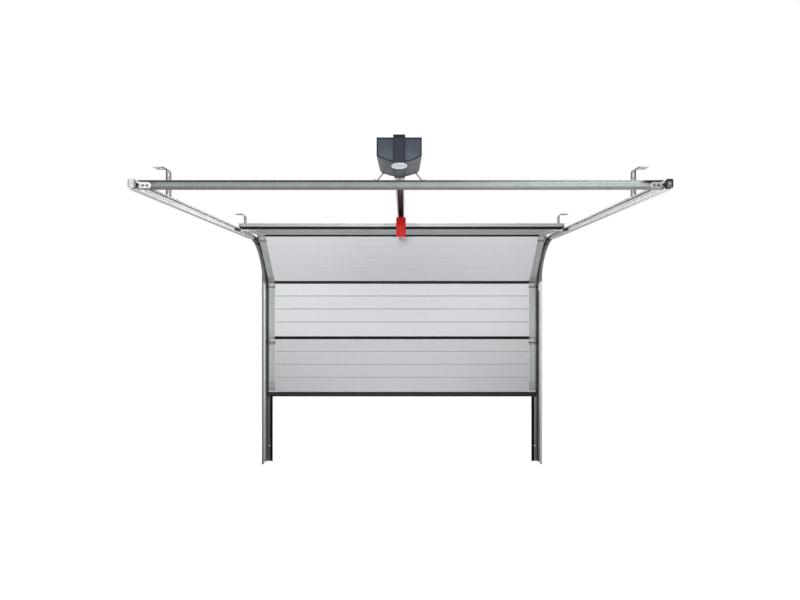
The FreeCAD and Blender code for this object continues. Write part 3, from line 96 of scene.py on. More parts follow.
# The leaf: a section's height, the depth of its face behind the hinge line, its end caps, the band
# that each joint hides, the grooves' heights, and how far the rollers lie below and before a joint.
# In a section's own frame Y runs from its hinge line to the wall, and Z up the section.
PITCH = 531.25 * MM
SKIN_Y = 8 * MM
CAP_SHEET = 1.5 * MM
CAP_FLANGE = 60 * MM
BAND = 13 * MM
RIBS = (152 * MM, 276 * MM, 400 * MM)
ROLLER_DROP = 44 * MM
ROLLER_OUT = 14 * MM
HALF_LEAF = reach("section_end_caps", "X")[1]
CAP_INNER_X = HALF_LEAF - CAP_FLANGE
LEAF_FACE_Y = reach("bottom_section", "Y")[0]
LEAF_BOTTOM_Z = reach("bottom_section", "Z")[0]
HINGE_Y = LEAF_FACE_Y - SKIN_Y
JOINT_1_Z = LEAF_BOTTOM_Z + PITCH
JOINT_2_Z = JOINT_1_Z + PITCH
HINGE_WIDTH = 54 * MM
HINGE_SHEET = 3 * MM
HINGE_X = reach("first_joint_hinges", "X")[1] - HINGE_WIDTH
HINGE_FACE = SKIN_Y - CAP_SHEET - HINGE_SHEET
BRACKET_FACE = SKIN_Y - 2 * CAP_SHEET

# The operator, a little to the left of the middle.
OPERATOR_X = middle_of("boom", "X")
BOOM_Z = reach("boom", "Z")[0]
HEAD_NEAR_Y, HEAD_FAR_Y = reach("operator_housing", "Y")
HEAD_TOP_Z = reach("operator_housing", "Z")[1]
AT_OPERATOR = Matrix.Translation((OPERATOR_X, 0, 0))

# The turn that points an upright cylinder or ring along -Y, into the room.
FORWARD = (math.pi / 2, 0, 0)

PAINT = (0.715, 0.73, 0.752)
# How dark the paint is made in the joints' recesses and on the edges tucked under a section: painted
# shade.
JOINT_SHADE = 0.03
# Painted light and shade: how light each section's paint is made for the light it gets, how dark its
# grooves are painted and how pale the ledges under them are painted.
SECTION_SHADING = {"bottom": (0.82, 0.7, 1.12), "lower_middle": (0.97, 0.5, 1.06),
                 "upper_middle": (0.87, 0.72, 1.04), "top": (0.63, 0.7, 1.05)}
# The section above each joint, and how light the hinge's upper leaf and its knuckle are painted for the
# light they get: painted light and shade.
HINGE_SHADING = {"first": ("lower_middle", 0.75, 0.95), "second": ("upper_middle", 0.55, 0.4),
               "third": ("top", 0.6, 0.6)}


def lean_of_third_section():
    """The third section's lean from upright, set by its roller's place in the bend."""
    length = PITCH - ROLLER_DROP
    run = HINGE_Y - CURVE_Y
    rise = JOINT_2_Z - CURVE_Z
    span = math.hypot(run, rise)
    arm = math.hypot(length, ROLLER_OUT)
    in_curve = math.acos((span ** 2 + arm ** 2 - TRACK_RADIUS ** 2) / (2 * span * arm))
    return math.pi / 2 + math.atan(rise / run) - in_curve - math.atan(ROLLER_OUT / length)


LEAN_3 = lean_of_third_section()
JOINT_3_Y = HINGE_Y - PITCH * math.sin(LEAN_3)
JOINT_3_Z = JOINT_2_Z + PITCH * math.cos(LEAN_3)
TOP_ROLLER = Vector((0, -1 * MM, PITCH - ROLLER_DROP))
LEAN_4 = math.pi / 2 + math.asin((JOINT_3_Z - RAIL_Z) / TOP_ROLLER.length) + math.atan(
    TOP_ROLLER.y / TOP_ROLLER.z)


def leaf_frame(y, z, lean):
    """The frame of a section or hinge leaf: the joint's line, leaning from upright."""
    return Matrix.Translation((0, y, z)) @ Matrix.Rotation(lean, 4, "X")


SECTION_FRAMES = {
    "bottom": leaf_frame(HINGE_Y, LEAF_BOTTOM_Z, 0),
    "lower_middle": leaf_frame(HINGE_Y, JOINT_1_Z, 0),
    "upper_middle": leaf_frame(HINGE_Y, JOINT_2_Z, LEAN_3),
    "top": leaf_frame(JOINT_3_Y, JOINT_3_Z, LEAN_4),
}

# The finishes that CAD nodes share. Every other node has a finish of its own name.
SHARED = {
    "right_post": ("lintel",),
    "bend": ("left_curved_track", "right_curved_track"),
    "rail": ("left_rail", "right_rail"),
    "track_plate": ("corner_plates", "track_clips", "rail_splices"),
    "seal": ("frame_seals", "joint_seals", "top_seal"),
    "fitting": ("boom_wall_bracket", "operator_stays", "door_arm", "door_arm_bracket"),
    "bracket": ("top_brackets", "cross_bar_brackets"),
    "roller": ("left_rollers", "right_rollers"),
    "hanger": ("front_hangers", "rear_hangers"),
}


def add_node(tree, kind, settings=None, inputs=None, output=0):
    """Add a shader node, its settings first and then the values or links of its sockets."""
    added = tree.nodes.new("ShaderNode" + kind)
    for name, value in (settings or {}).items():
        setattr(added, name, value)
    for name, value in (inputs or {}).items():
        if isinstance(value, Wire):
            tree.links.new(value.socket, added.inputs[name])
        else:
            added.inputs[name].default_value = value
    return Wire(tree, added.outputs[output])


def arithmetic(operation, turned=False):
    """A Wire's method for one operation, with the other number first if it is turned."""
    def method(self, other=0):
        first, second = (other, self) if turned else (self, other)
        return add_node(self.tree, "Math", {"operation": operation}, {0: first, 1: second})
    return method


class Wire:
    """One socket of a node tree, with the arithmetic of a plain number."""

    def __init__(self, tree, socket):
        self.tree = tree
        self.socket = socket

    __add__ = __radd__ = arithmetic("ADD")
    __mul__ = __rmul__ = arithmetic("MULTIPLY")
    __sub__ = arithmetic("SUBTRACT")
    __rsub__ = arithmetic("SUBTRACT", turned=True)
    __abs__ = arithmetic("ABSOLUTE")

    def step(self, low, high):
        """A smooth rise from 0 to 1 between two values, or a fall where low is above high."""
        return add_node(self.tree, "MapRange", {"interpolation_type": "SMOOTHSTEP"},
                        {"Value": self, "From Min": low, "From Max": high})

    def past(self, place, low, high):
        """A rise between two distances past a place, in millimetres, or a fall."""
        return self.step(place + low * MM, place + high * MM)

    def within(self, place, low, high, edge=0.5):
        """1 between two distances past a place, in millimetres, and 0 beyond their soft edges."""
        return self.past(place, low - edge, low + edge) * self.past(place, high + edge, high - edge)


class Shader:
    """A material and its Principled shader."""

    def __init__(self, name, colour, roughness=0.5, metallic=0.0, shine=0.35):
        self.material = bpy.data.materials.new(name)
        self.material.use_nodes = True
        self.tree = self.material.node_tree
        self.principled = self.tree.nodes["Principled BSDF"]
        self.colour = colour
        self.set("Base Color", (*colour, 1.0))
        self.set("Roughness", roughness)
        self.set("Metallic", metallic)
        self.set("Specular IOR Level", shine)
        self.material.diffuse_color = (*colour, 1.0)
        self.place = self.node("TexCoord", output="Object")

    def set(self, socket, value):
        """Give one of the shader's sockets a value or a link."""
        target = self.principled.inputs[socket]
        if isinstance(value, Wire):
            self.tree.links.new(value.socket, target)
        else:
            target.default_value = value

    def node(self, kind, settings=None, inputs=None, output=0):
        """Add a node to the material."""
        return add_node(self.tree, kind, settings, inputs, output)

    def axis(self, letter):
        """How far a point lies along one of the object's own axes, in metres."""
        return self.node("SeparateXYZ", {}, {0: self.place}, output="XYZ".index(letter))

    def along(self, section, letter):
        """How far a point lies from a section's joint along one of the section's own axes."""
        offset = self.node("VectorMath", {"operation": "SUBTRACT"},
                           {0: self.place, 1: section.translation})
        way = section.col["XYZ".index(letter)].to_3d()
        return self.node("VectorMath", {"operation": "DOT_PRODUCT"}, {0: offset, 1: way}, output=1)

    def stretched(self, stretch):
        """The object's own coordinates, scaled along each axis."""
        return self.node("Mapping", {}, {"Vector": self.place, "Scale": stretch})

    def noise(self, scale, detail=2.0, roughness=0.5, stretch=(1, 1, 1)):
        """Noise on the object's own coordinates, in features to the metre."""
        return self.node("TexNoise", {}, {
            "Vector": self.stretched(stretch), "Scale": scale, "Detail": detail,
            "Roughness": roughness})

    def crystals(self, scale):
        """A random tone for each cell of a crystal pattern."""
        cells = self.node("TexVoronoi", {}, {"Vector": self.place, "Scale": scale}, output=1)
        return self.node("SeparateColor", {}, {0: cells})

    def cells(self, scale):
        """The distance to the nearest point of a pebbled pattern."""
        return self.node("TexVoronoi", {}, {"Vector": self.place, "Scale": scale})

    def mix(self, factor, first, second):
        """Blend two colours."""
        return self.node("Mix", {"data_type": "RGBA"},
                         {0: factor, 6: (*first, 1.0) if isinstance(first, tuple) else first,
                          7: (*second, 1.0) if isinstance(second, tuple) else second}, output=2)

    def sheet(self):
        """The colour linked so far."""
        return Wire(self.tree, self.principled.inputs["Base Color"].links[0].from_socket)

    def tint(self, *tones):
        """Multiply the colour linked so far by each share where its mask is 1."""
        product = {"data_type": "RGBA", "blend_type": "MULTIPLY"}
        for mask, share in tones:
            tone = self.mix(mask, (1, 1, 1), (share, share, share))
            self.set("Base Color", self.node(
                "Mix", product, {0: 1.0, 6: self.sheet(), 7: tone}, output=2))

    def shade(self, share):
        """The material's own colour, lighter or darker."""
        return tuple(part * share for part in self.colour)

    def bump(self, height, distance, strength=0.5):
        """Raise the surface by a pattern's height, at its real depth."""
        self.set("Normal", self.node("Bump", {}, {
            "Height": height, "Distance": distance, "Strength": strength}))


def galvanised(name, colour, roughness=0.42, metallic=0.2, crystal=75.0, contrast=0.1):
    """Zinc-coated sheet: faint crystals under a dull bloom."""
    steel = Shader(name, colour, roughness, metallic)
    tone = steel.crystals(crystal)
    bloom = steel.noise(9.0, 5.0, 0.6).step(0.42, 0.72)
    sheet = steel.mix(tone, steel.shade(1 - contrast), steel.shade(1 + contrast))
    steel.set("Base Color", steel.mix(bloom * 0.3, sheet, steel.shade(0.82)))
    steel.set("Roughness", roughness + 0.12 * tone + 0.1 * bloom)
    steel.bump(steel.noise(500.0), 0.03 * MM)
    return steel


def coating_speckle(paint):
    """The fine speckle of the sections' coil coating."""
    return paint.noise(105.0, 3.0, 0.65)


def embossed_paint(name, colour, section, groove_shade, ledge_highlight):
    """A section's coil-coated skin: pebbled emboss, painted shade in grooves and recesses, painted
    highlights on ledges and rolled edges.
    """
    paint = Shader(name, colour, 0.45, shine=0.3)
    pebbles = paint.noise(420.0, 3.0, 0.62)
    speckle = coating_speckle(paint)
    cloud = paint.noise(2.2, 3.0, 0.5, (0.5, 1, 1)).step(0.4, 0.7)
    face = paint.mix(speckle.step(0.36, 0.64), paint.shade(0.955), paint.shade(1.03))
    paint.set("Base Color", paint.mix(cloud * 0.25, face, paint.shade(0.94)))
    height = paint.along(section, "Z")
    # Painted shade in each groove and a painted highlight on the ledge under it.
    for rib in RIBS:
        paint.tint((height.within(rib, -1.5, 5.5), groove_shade),
                   (height.within(rib, -9.5, -2.5), ledge_highlight))
    # Painted highlights on the rolled edges beside the joints.
    paint.tint((height.within(BAND, 0, 8), 1.06), (height.within(PITCH - BAND, -8, 0), 1.06))
    # Painted shade over the bands in the joints' recesses.
    lower_band = height.past(BAND, 3, 2)
    upper_band = height.past(PITCH - BAND, -1, 0)
    paint.tint((lower_band + upper_band, JOINT_SHADE))
    paint.set("Roughness", 0.4 + 0.16 * speckle)
    paint.bump(pebbles, 0.5 * MM, 0.45)
    return paint


def fold_paint(colour):
    """The same coating on the rolled edges, with painted shade on the two that tuck under the next
    section.
    """
    paint = Shader("rolled_edge_paint", colour, 0.42, shine=0.3)
    speckle = coating_speckle(paint)
    paint.set("Base Color", paint.mix(speckle, paint.shade(0.96), paint.shade(1.04)))
    over_first_joint = paint.axis("Z").within(JOINT_1_Z, 8, 20)
    past_third_joint = paint.axis("Y").past(JOINT_3_Y, -4, -8)
    # Painted shade on the two edges that tuck under the next section.
    paint.tint((over_first_joint, JOINT_SHADE), (past_third_joint, JOINT_SHADE))
    paint.set("Roughness", 0.38 + 0.12 * speckle)
    paint.bump(paint.noise(300.0), 0.04 * MM, 0.4)
    return paint


def rubber(name, colour, roughness=0.75, ribs=None):
    """Matt extruded rubber, with fine drawn lines or small ribs along it."""
    seal = Shader(name, colour, roughness, shine=0.12)
    bloom = seal.noise(35.0, 4.0, 0.6).step(0.45, 0.75)
    chalky = tuple(0.006 + 1.4 * part for part in colour)
    seal.set("Base Color", seal.mix(bloom * 0.5, colour, chalky))
    seal.set("Roughness", roughness - 0.12 * bloom)
    lines = seal.noise(700.0, 1.0, 0.5, (0.02, 1, 1)) if ribs is None else seal.node(
        "TexWave", {"bands_direction": "Z"}, {"Vector": seal.place, "Scale": ribs}, output=1)
    seal.bump(lines, 0.3 * MM)
    return seal


def moulded(name, colour, roughness=0.5, grain=1500.0, depth=0.1 * MM, shine=0.2):
    """Moulded plastic with a fine spark-eroded grain."""
    plastic = Shader(name, colour, roughness, shine=shine)
    wear = plastic.noise(14.0, 4.0, 0.6).step(0.4, 0.75)
    plastic.set("Base Color", plastic.mix(wear * 0.4, colour, plastic.shade(0.8)))
    plastic.set("Roughness", roughness + 0.12 * wear)
    plastic.bump(plastic.cells(grain), depth, 0.6)
    return plastic


def satin_aluminium(name, colour, roughness=0.32, metallic=0.6, drawn=(0.01, 1, 1)):
    """Drawn aluminium with fine lines along its length."""
    metal = Shader(name, colour, roughness, metallic)
    lines = metal.noise(1800.0, 2.0, 0.6, drawn)
    haze = metal.noise(12.0, 3.0).step(0.4, 0.7)
    metal.set("Base Color", metal.mix(lines, metal.shade(0.9), metal.shade(1.08)))
    metal.set("Roughness", roughness + 0.15 * lines + 0.08 * haze)
    metal.bump(lines, 0.06 * MM, 0.4)
    return metal


def frame_steel_shader(name, colour, fold_shading):
    """A post's or the lintel's sheet, with painted shade on its outer fold, its outer edge and the flange
    at the wall.
    """
    steel = galvanised(name, colour, 0.5, 0.1, 60.0, 0.08)
    across = abs(steel.axis("X"))
    depth = steel.axis("Y")
    lip = depth.past(POST_LIP_Y, 5, 3)
    outer_fold = across.past(HALF_FRAME, -11, -8)
    wall_flange = depth.within(0, -6, -1)
    outer_edge = across.past(HALF_FRAME, -8, -4)
    # Painted shade on the outer fold, on the flange at the wall and on the outer edge.
    steel.tint((lip * outer_fold, fold_shading), ((1 - lip) * wall_flange, 0.45),
               ((1 - lip) * outer_edge, 0.7))
    return steel


def cross_bar_shader():
    """The cross bar's sheet: a dull web with painted light rising to the right and a painted highlight
    band, painted shade in the upper inside corner on the left and a painted highlight there on the right,
    and painted shade on the lower fold and on the upper fold by the right rail.
    """
    steel = galvanised("cross_bar_steel", (0.25, 0.27, 0.27), 0.5, 0.1, 60.0, 0.08)
    height = steel.axis("Z") - BAR_Z
    along = steel.axis("X")
    right = along.past(0, -300, 1200)
    highlight_band = height.within(0, -8, 4, 3)
    upper_corner = height.past(0, 13, 18)
    lower_fold = height.past(0, -16, -19)
    upper_fold = height.past(0, 10, 14)
    near_right_rail = along.past(0, 1170, 1210)
    # Painted light and shade: lighter to the right, a highlight band on the web, shade under the upper
    # flange and on the folds.
    steel.tint((1 - right, 0.52), (highlight_band, 1.22), (upper_corner * (1 - right), 0.3),
               (upper_corner * right, 1.3), (lower_fold, 0.55),
               (upper_fold * near_right_rail, 0.08))
    return steel


def roller_shader():
    """Black moulded wheels on dull dark axles, lighter on the lowest and the top rollers, with painted
    shade on the axles past the leaf.
    """
    black, worn_black = (0.012, 0.012, 0.014), (0.05, 0.05, 0.05)
    dull_zinc, worn_zinc, bright_zinc = (0.1, 0.1, 0.1), (0.17, 0.17, 0.165), (0.55, 0.56, 0.55)
    in_shade = (0.01, 0.01, 0.01)
    hub_x = 1298.6 * MM
    wheel = Shader("roller_plastic", (0.02, 0.02, 0.022), 0.45, shine=0.25)
    across = abs(wheel.axis("X"))
    is_wheel = across.past(hub_x, -0.2, 0.2)
    shaded_past_leaf = across.past(HALF_LEAF, -1, 1)
    lowest = wheel.axis("Z").past(0, -1400, -1450)
    highest = wheel.axis("Y").past(0, -800, -850)
    scuff = wheel.noise(60.0, 4.0, 0.6).step(0.45, 0.7)
    tread = wheel.mix(scuff * 0.6, black, worn_black)
    axle = wheel.mix(scuff, dull_zinc, worn_zinc)
    # The lowest and the top rollers' axles are lighter; past the leaf, painted shade.
    axle = wheel.mix(lowest + highest, axle, bright_zinc)
    axle = wheel.mix(shaded_past_leaf, axle, in_shade)
    wheel.set("Base Color", wheel.mix(is_wheel, axle, tread))
    wheel.set("Metallic", (1 - is_wheel) * 0.3)
    wheel.set("Roughness", 0.38 + 0.15 * scuff)
    wheel.bump(wheel.noise(600.0), 0.04 * MM, 0.4)
    return wheel


def strap_shader():
    """Dark painted strap, dusty, with painted shade along its rolled edges and over the head's top, and
    painted light on its underside.
    """
    dusty, lit_underside = (0.021, 0.023, 0.029), (0.085, 0.088, 0.094)
    shaded_top = (0.005, 0.005, 0.006)
    paint = Shader("strap_paint", (0.014, 0.016, 0.023), 0.6, shine=0.12)
    edge = abs(paint.axis("X") - OPERATOR_X).past(0, 22, 25)
    under = paint.axis("Z").past(0, -10, -14)
    over = paint.axis("Z").past(HEAD_TOP_Z, -7.5, -2.5)
    dust = paint.noise(22.0, 5.0, 0.6).step(0.4, 0.75)
    face = paint.mix(dust * 0.5, paint.colour, dusty)
    # Painted light on the underside; painted shade over the head's top and along the rolled edges.
    face = paint.mix(under, face, lit_underside)
    paint.set("Base Color", paint.mix(over, face, shaded_top))
    paint.tint((edge, 0.35))
    paint.set("Roughness", 0.55 + 0.15 * dust)
    paint.bump(paint.noise(700.0), 0.05 * MM)
    return paint


def housing_shader():
    """The motor head's moulded shell, with a darker textured near cover."""
    shell = moulded("housing_plastic", (0.086, 0.09, 0.097))
    cover = shell.axis("Y").past(HEAD_NEAR_Y, 7, 5)
    shell.set("Base Color", shell.mix(cover, shell.sheet(), (0.026, 0.032, 0.042)))
    return shell


def lever_shader():
    """Red moulded plastic, mottled where the glass filling shows."""
    red = Shader("lever_plastic", (0.31, 0.004, 0.003), 0.5, shine=0.1)
    mottle = red.noise(55.0, 4.0, 0.65, (1, 1, 0.5)).step(0.42, 0.7)
    red.set("Base Color", red.mix(mottle, (0.34, 0.0045, 0.003), (0.2, 0.003, 0.002)))
    red.set("Roughness", 0.42 + 0.2 * mottle)
    red.bump(red.cells(1300.0), 0.1 * MM)
    return red


def boom_shader():
    """Galvanised outside of the boom, with pale bare lips, and inside a streaked painted reddish
    reflection that painted shade turns black towards the wall.
    """
    zinc, bare_lip, wall_end_shade = (0.3, 0.3, 0.3), (0.45, 0.43, 0.42), (0.006, 0.005, 0.005)
    reflected_red, reflected_pale_red = (0.29, 0.17, 0.155), (0.45, 0.3, 0.27)
    steel = Shader("boom_steel", (0.12, 0.08, 0.075), 0.5, 0.1, 0.25)
    outside = abs(steel.axis("X") - OPERATOR_X).past(0, 24, 24.6)
    above_lips = (steel.axis("Z") - BOOM_Z).past(0, 1.4, 2.4)
    wall_half = steel.axis("Y").past(0, -2000, -1550)
    streak = steel.noise(40.0, 3.0, 0.6, (1, 0.04, 1)).step(0.35, 0.7)
    # Inside: a streaked painted reddish reflection, turned black towards the wall by painted shade.
    inside = steel.mix(wall_half, steel.mix(streak, reflected_red, reflected_pale_red), wall_end_shade)
    steel.set("Base Color", steel.mix(outside, steel.mix(above_lips, bare_lip, inside), zinc))
    steel.set("Roughness", 0.45 + 0.15 * streak)
    steel.bump(steel.noise(600.0), 0.04 * MM, 0.4)
    return steel


def track_shader(name, flange_lighting, lip_shading, inner_shading):
    """An upright track's sheet, with painted light and shade on its near flange and painted shade on its
    rolled lip and inside.
    """
    steel = galvanised(name, (0.55, 0.56, 0.56), 0.45, 0.15)
    near_face = TRACK_Y - TRACK_HALF
    near = steel.axis("Y").past(near_face, 3, 1)
    rolled_lip = abs(steel.axis("X")).past(LIP_X, 9, 7)
    # Painted light and shade on the near flange, painted shade inside and on the rolled lip.
    steel.tint((near, flange_lighting), (1 - near, inner_shading), (near * rolled_lip, lip_shading))
    return steel


def bend_shader():
    """The bends' sheet, with painted shade on the curve, deeper on the rollers' side and under the rail
    by the third roller, and a painted highlight on the upright start with painted shade on its rolled
    lip.
    """
    steel = galvanised("bend_steel", (0.5, 0.51, 0.505), 0.5, 0.1)
    across = abs(steel.axis("X"))
    height = steel.axis("Z")
    upright = height.past(CURVE_Z, 90, 50)
    curved = height.past(RAIL_Z, -30, -80) * (1 - upright)
    roller_side = across.past(LIP_X, 15, 6)
    rolled_lip = across.past(LIP_X, 9, 7)
    under_rail = height.within(RAIL_Z, -62, 8, 6)
    inner_part = across.past(LIP_X, 20, 14)
    by_third_roller = steel.axis("Y").past(CURVE_Y, 15, 45)
    # Painted shade on the curve and under the rail; a painted highlight on the upright start.
    steel.tint((curved, 0.4), (roller_side * curved, 0.35), (upright, 1.5),
               (rolled_lip * upright, 0.2), (under_rail * inner_part * by_third_roller, 0.08))
    return steel


def left_share(shader):
    """A slow rise from 0 a metre to the right of the middle to 1 a metre to the left."""
    return shader.axis("X").step(1, -1)


def bracket_shader():
    """The zinc of the top brackets and the cross bar's brackets, with painted light that makes it
    brighter on the left.
    """
    steel = galvanised("end_bracket_steel", (0.62, 0.635, 0.63), 0.45, 0.15, 75.0, 0.06)
    # Painted light: brighter to the left.
    steel.tint((left_share(steel), 1.28))
    return steel


def rail_shader():
    """The rails' bright sheet, with painted shade in its corners and towards the left rail's rear end."""
    steel = galvanised("rail_steel", (0.72, 0.735, 0.73), 0.5, 0.05, 60.0, 0.06)
    steel.set("Specular IOR Level", 0.1)
    height = steel.axis("Z") - RAIL_Z
    rear_half = steel.axis("Y").past(0, -1700, -2400)
    upper_corner = height.past(TRACK_HALF, -6, -3)
    lower_corner = height.past(-TRACK_HALF, 5, 2.5)
    # Painted shade towards the left rail's rear end and in the corners.
    steel.tint((rear_half * left_share(steel), 0.78), (upper_corner, 0.55), (lower_corner, 0.8))
    return steel


def hinge_shader(name, section, upper_leaf_shading, knuckle_shading):
    """A hinge's zinc, with painted light and shade on its upper leaf and knuckle, and painted shade
    beside its pressed middle, past the leaf and at its lower tip.
    """
    steel = galvanised(name, (0.5, 0.51, 0.5), 0.45, 0.15, 90.0, 0.12)
    height = steel.along(section, "Z")
    aside = abs(abs(steel.axis("X")) - HINGE_X - HINGE_WIDTH / 2)
    knuckle_half = 7
    upper_leaf = height.past(0, knuckle_half, knuckle_half + 3)
    knuckle = height.within(0, -knuckle_half, knuckle_half)
    beside_middle = aside.past(0, 8, 14) * height.past(0, knuckle_half, 0)
    shaded_past_leaf = aside.past(0, 27, 28)
    lower_tip = height.past(0, -52, -54)
    # Painted light and shade on the upper leaf and knuckle; painted shade beside the middle, past the
    # leaf and at the lower tip.
    steel.tint((upper_leaf, upper_leaf_shading), (knuckle, knuckle_shading), (beside_middle, 0.72),
               (shaded_past_leaf, 0.12), (lower_tip, 0.6))
    return steel


def hanger_shader():
    """The hangers' slotted strap, with painted shade along its sheared edges and painted light on its
    ceiling flange.
    """
    steel = galvanised("hanger_steel", (0.3, 0.31, 0.31), 0.5, 0.15, 90.0, 0.12)
    depth = steel.axis("Y")
    flange = abs(steel.axis("X")).past(WEB_X, 24, 30)
    for middle in (FRONT_HANGER_Y, REAR_HANGER_Y):
        # Painted shade along the sheared edges.
        shaded_sheared_edge = abs(depth - middle).within(0, 19, 40, 1.5)
        steel.tint((shaded_sheared_edge * (1 - flange), 0.1))
    # Painted light on the ceiling flange.
    steel.tint((flange, 1.7))
    return steel


def buffer_shader():
    """The buffers' pale rubber, with painted shade at its rounded rim and over the whole right one."""
    pale = moulded("buffer_rubber", (0.4, 0.405, 0.4), 0.7, 900.0, 0.02 * MM, 0.08)
    right = pale.axis("X").step(-1, 1)
    side_rim = abs(abs(pale.axis("X")) - WEB_X + 13 * MM).past(0, 10, 14)
    upper_rim = abs(pale.axis("Z") - RAIL_Z).past(0, 15, 20)
    # Painted shade on the right buffer and on the rims.
    pale.tint((right, 0.2), (right * side_rim, 0.16), (right * upper_rim, 0.16),
              ((1 - right) * side_rim, 0.42))
    return pale


def profile_shader():
    """The edge profile's aluminium, with painted shade in the groove along its face, at the leaf's edge
    and at its cut ends.
    """
    metal = satin_aluminium("edge_aluminium", (0.44, 0.45, 0.455), 0.4, 0.2)
    across = metal.along(SECTION_FRAMES["top"], "Y")
    groove = across.within(0, 34, 41, 1)
    leaf_edge = across.past(0, 28, 26)
    cut_end = abs(metal.axis("X")).past(HALF_LEAF, -18, -16)
    # Painted shade in the groove, at the leaf's edge and at the cut ends.
    metal.tint((groove, 0.5), (leaf_edge, 0.6), (cut_end * across.past(0, 32, 30), 0.2))
    return metal


def bottom_bracket_shader():
    """The bottom brackets' zinc, as dull as the end caps but for painted highlights on its lowest fold
    and inner edge.
    """
    steel = galvanised("bottom_bracket_steel", (0.34, 0.355, 0.35), 0.5, 0.15, 70.0, 0.07)
    inner_edge = abs(steel.axis("X")).past(CAP_INNER_X, 1, -1)
    lowest_fold = steel.along(SECTION_FRAMES["bottom"], "Z").past(0, 32, 28)
    # Painted highlights on the inner edge and the lowest fold.
    steel.tint((inner_edge, 1.7), (lowest_fold, 1.7))
    return steel


def end_cap_shader():
    """The end caps' zinc, with painted shade on a pressed line, a painted highlight on the inner edge,
    and painted light giving each section's caps its own tone.
    """
    steel = galvanised("end_cap_steel", (0.34, 0.358, 0.352), 0.5, 0.15, 70.0, 0.07)
    across = abs(steel.axis("X"))
    height = steel.axis("Z")
    pressed_line = across.within(CAP_INNER_X, 15, 21, 2)
    inner_edge = across.past(CAP_INNER_X, 6, 4)
    below_second_joint = height.past(JOINT_2_Z, 2, -2)
    below_first_joint = height.past(JOINT_1_Z, 2, -2)
    top_section = steel.axis("Y").past(JOINT_3_Y, 5, -5)
    # Painted shade on the pressed line, a painted highlight on the inner edge, painted light per section.
    steel.tint((pressed_line, 0.8), (inner_edge, 1.35), (below_second_joint, 1.25),
               (below_first_joint, 1.04), (top_section, 1.5))
    return steel


def make_finishes():
    """One procedural material for each of the door's finishes."""
    finishes = {
        # The left track is painted lighter than the right: painted light and shade.
        "left_vertical_track": track_shader("left_track_steel", 1.5, 0.2, 0.34),
        "right_vertical_track": track_shader("right_track_steel", 0.75, 0.1, 0.08),
        "bend": bend_shader(),
        "rail": rail_shader(),
        # A dark zinc: painted shade for the plates and clips that sit between post and track.
        "track_plate": galvanised("track_plate_steel", (0.24, 0.25, 0.25), 0.5, 0.15),
        "fitting": galvanised("fitting_steel", (0.27, 0.285, 0.28), 0.45, 0.2, 90.0, 0.12),
        "hanger": hanger_shader(),
        # The left post is painted darker than the right post and the lintel: painted shade.
        "left_post": frame_steel_shader("left_post_steel", (0.36, 0.37, 0.37), 0.4),
        "right_post": frame_steel_shader("right_post_steel", (0.74, 0.755, 0.755), 0.95),
        "rear_cross_bar": cross_bar_shader(),
        "bracket": bracket_shader(),
        "bottom_brackets": bottom_bracket_shader(),
        "section_end_caps": end_cap_shader(),
        "seal": rubber("seal_rubber", (0.008, 0.008, 0.01)),
        "bottom_seal": rubber("bottom_seal_rubber", (0.028, 0.029, 0.03), 0.7, ribs=110.0),
        "top_edge_profile": profile_shader(),
        "roller": roller_shader(),
        "rail_buffers": buffer_shader(),
        "operator_housing": housing_shader(),
        # Near-black for the groove round the near cover: painted shade in the gap.
        "housing_gap": moulded("housing_gap_plastic", (0.004, 0.004, 0.005), 0.7, shine=0.05),
        "operator_strap": strap_shader(),
        "operator_badge": satin_aluminium("plate_aluminium", (0.53, 0.585, 0.6), 0.35, 0.2, (0.03, 1, 1)),
        "boom": boom_shader(),
        "boom_clamp": galvanised("clamp_steel", (0.42, 0.43, 0.435), 0.4, 0.3, 140.0),
        "carriage": moulded("carriage_plastic", (0.006, 0.006, 0.008), 0.55, shine=0.1),
        "release_lever": lever_shader(),
        "drive_belt": rubber("belt_rubber", (0.012, 0.009, 0.009)),
        "bolt": galvanised("bolt_zinc", (0.4, 0.41, 0.4), 0.35, 0.4, 300.0),
        "dark_bolt": galvanised("dark_bolt_zinc", (0.16, 0.165, 0.165), 0.4, 0.2, 300.0),
    }
    # Each section's paint is a lighter or darker copy of one paint: painted light and shade.
    for kind, (level, groove_shade, ledge_highlight) in SECTION_SHADING.items():
        colour = tuple(part * level for part in PAINT)
        finishes[kind + "_section"] = embossed_paint(kind + "_section_paint", colour,
                                                     SECTION_FRAMES[kind], groove_shade, ledge_highlight)
    finishes["fold"] = fold_paint(PAINT)
    for joint, (above, upper_leaf_shading, knuckle_shading) in HINGE_SHADING.items():
        finishes[joint + "_joint_hinges"] = hinge_shader(joint + "_hinge_steel", SECTION_FRAMES[above],
                                                  upper_leaf_shading, knuckle_shading)
    return finishes


def dress_nodes(finishes):
    """Give every CAD node its finish."""
    shared = {name: finish for finish, names in SHARED.items() for name in names}
    for name, node in nodes.items():
        node.data.materials.clear()
        node.data.materials.append(finishes[shared.get(name, name)].material)


def object_mode():
    """Leave edit mode."""
    if bpy.context.object and bpy.context.object.mode != "OBJECT":
        bpy.ops.object.mode_set(mode="OBJECT")


def select_only(*pieces):
    """Select these pieces alone, the first of them active."""
    object_mode()
    bpy.ops.object.select_all(action="DESELECT")
    for piece in pieces:
        piece.select_set(True)
    if pieces:
        bpy.context.view_layer.objects.active = pieces[0]


def apply_place():
    """Put the selected object's place into its mesh."""
    bpy.ops.object.transform_apply(location=True, rotation=True, scale=True)


def rename(piece, name):
    """Name a piece and its mesh."""
    piece.name = name
    piece.data.name = name


def primitive(kind, name, **settings):
    """Start a piece from a primitive, with its place in its mesh."""
    select_only()
    getattr(bpy.ops.mesh, "primitive_%s_add" % kind)(**settings)
    piece = bpy.context.object
    rename(piece, name)
    apply_place()
    return piece


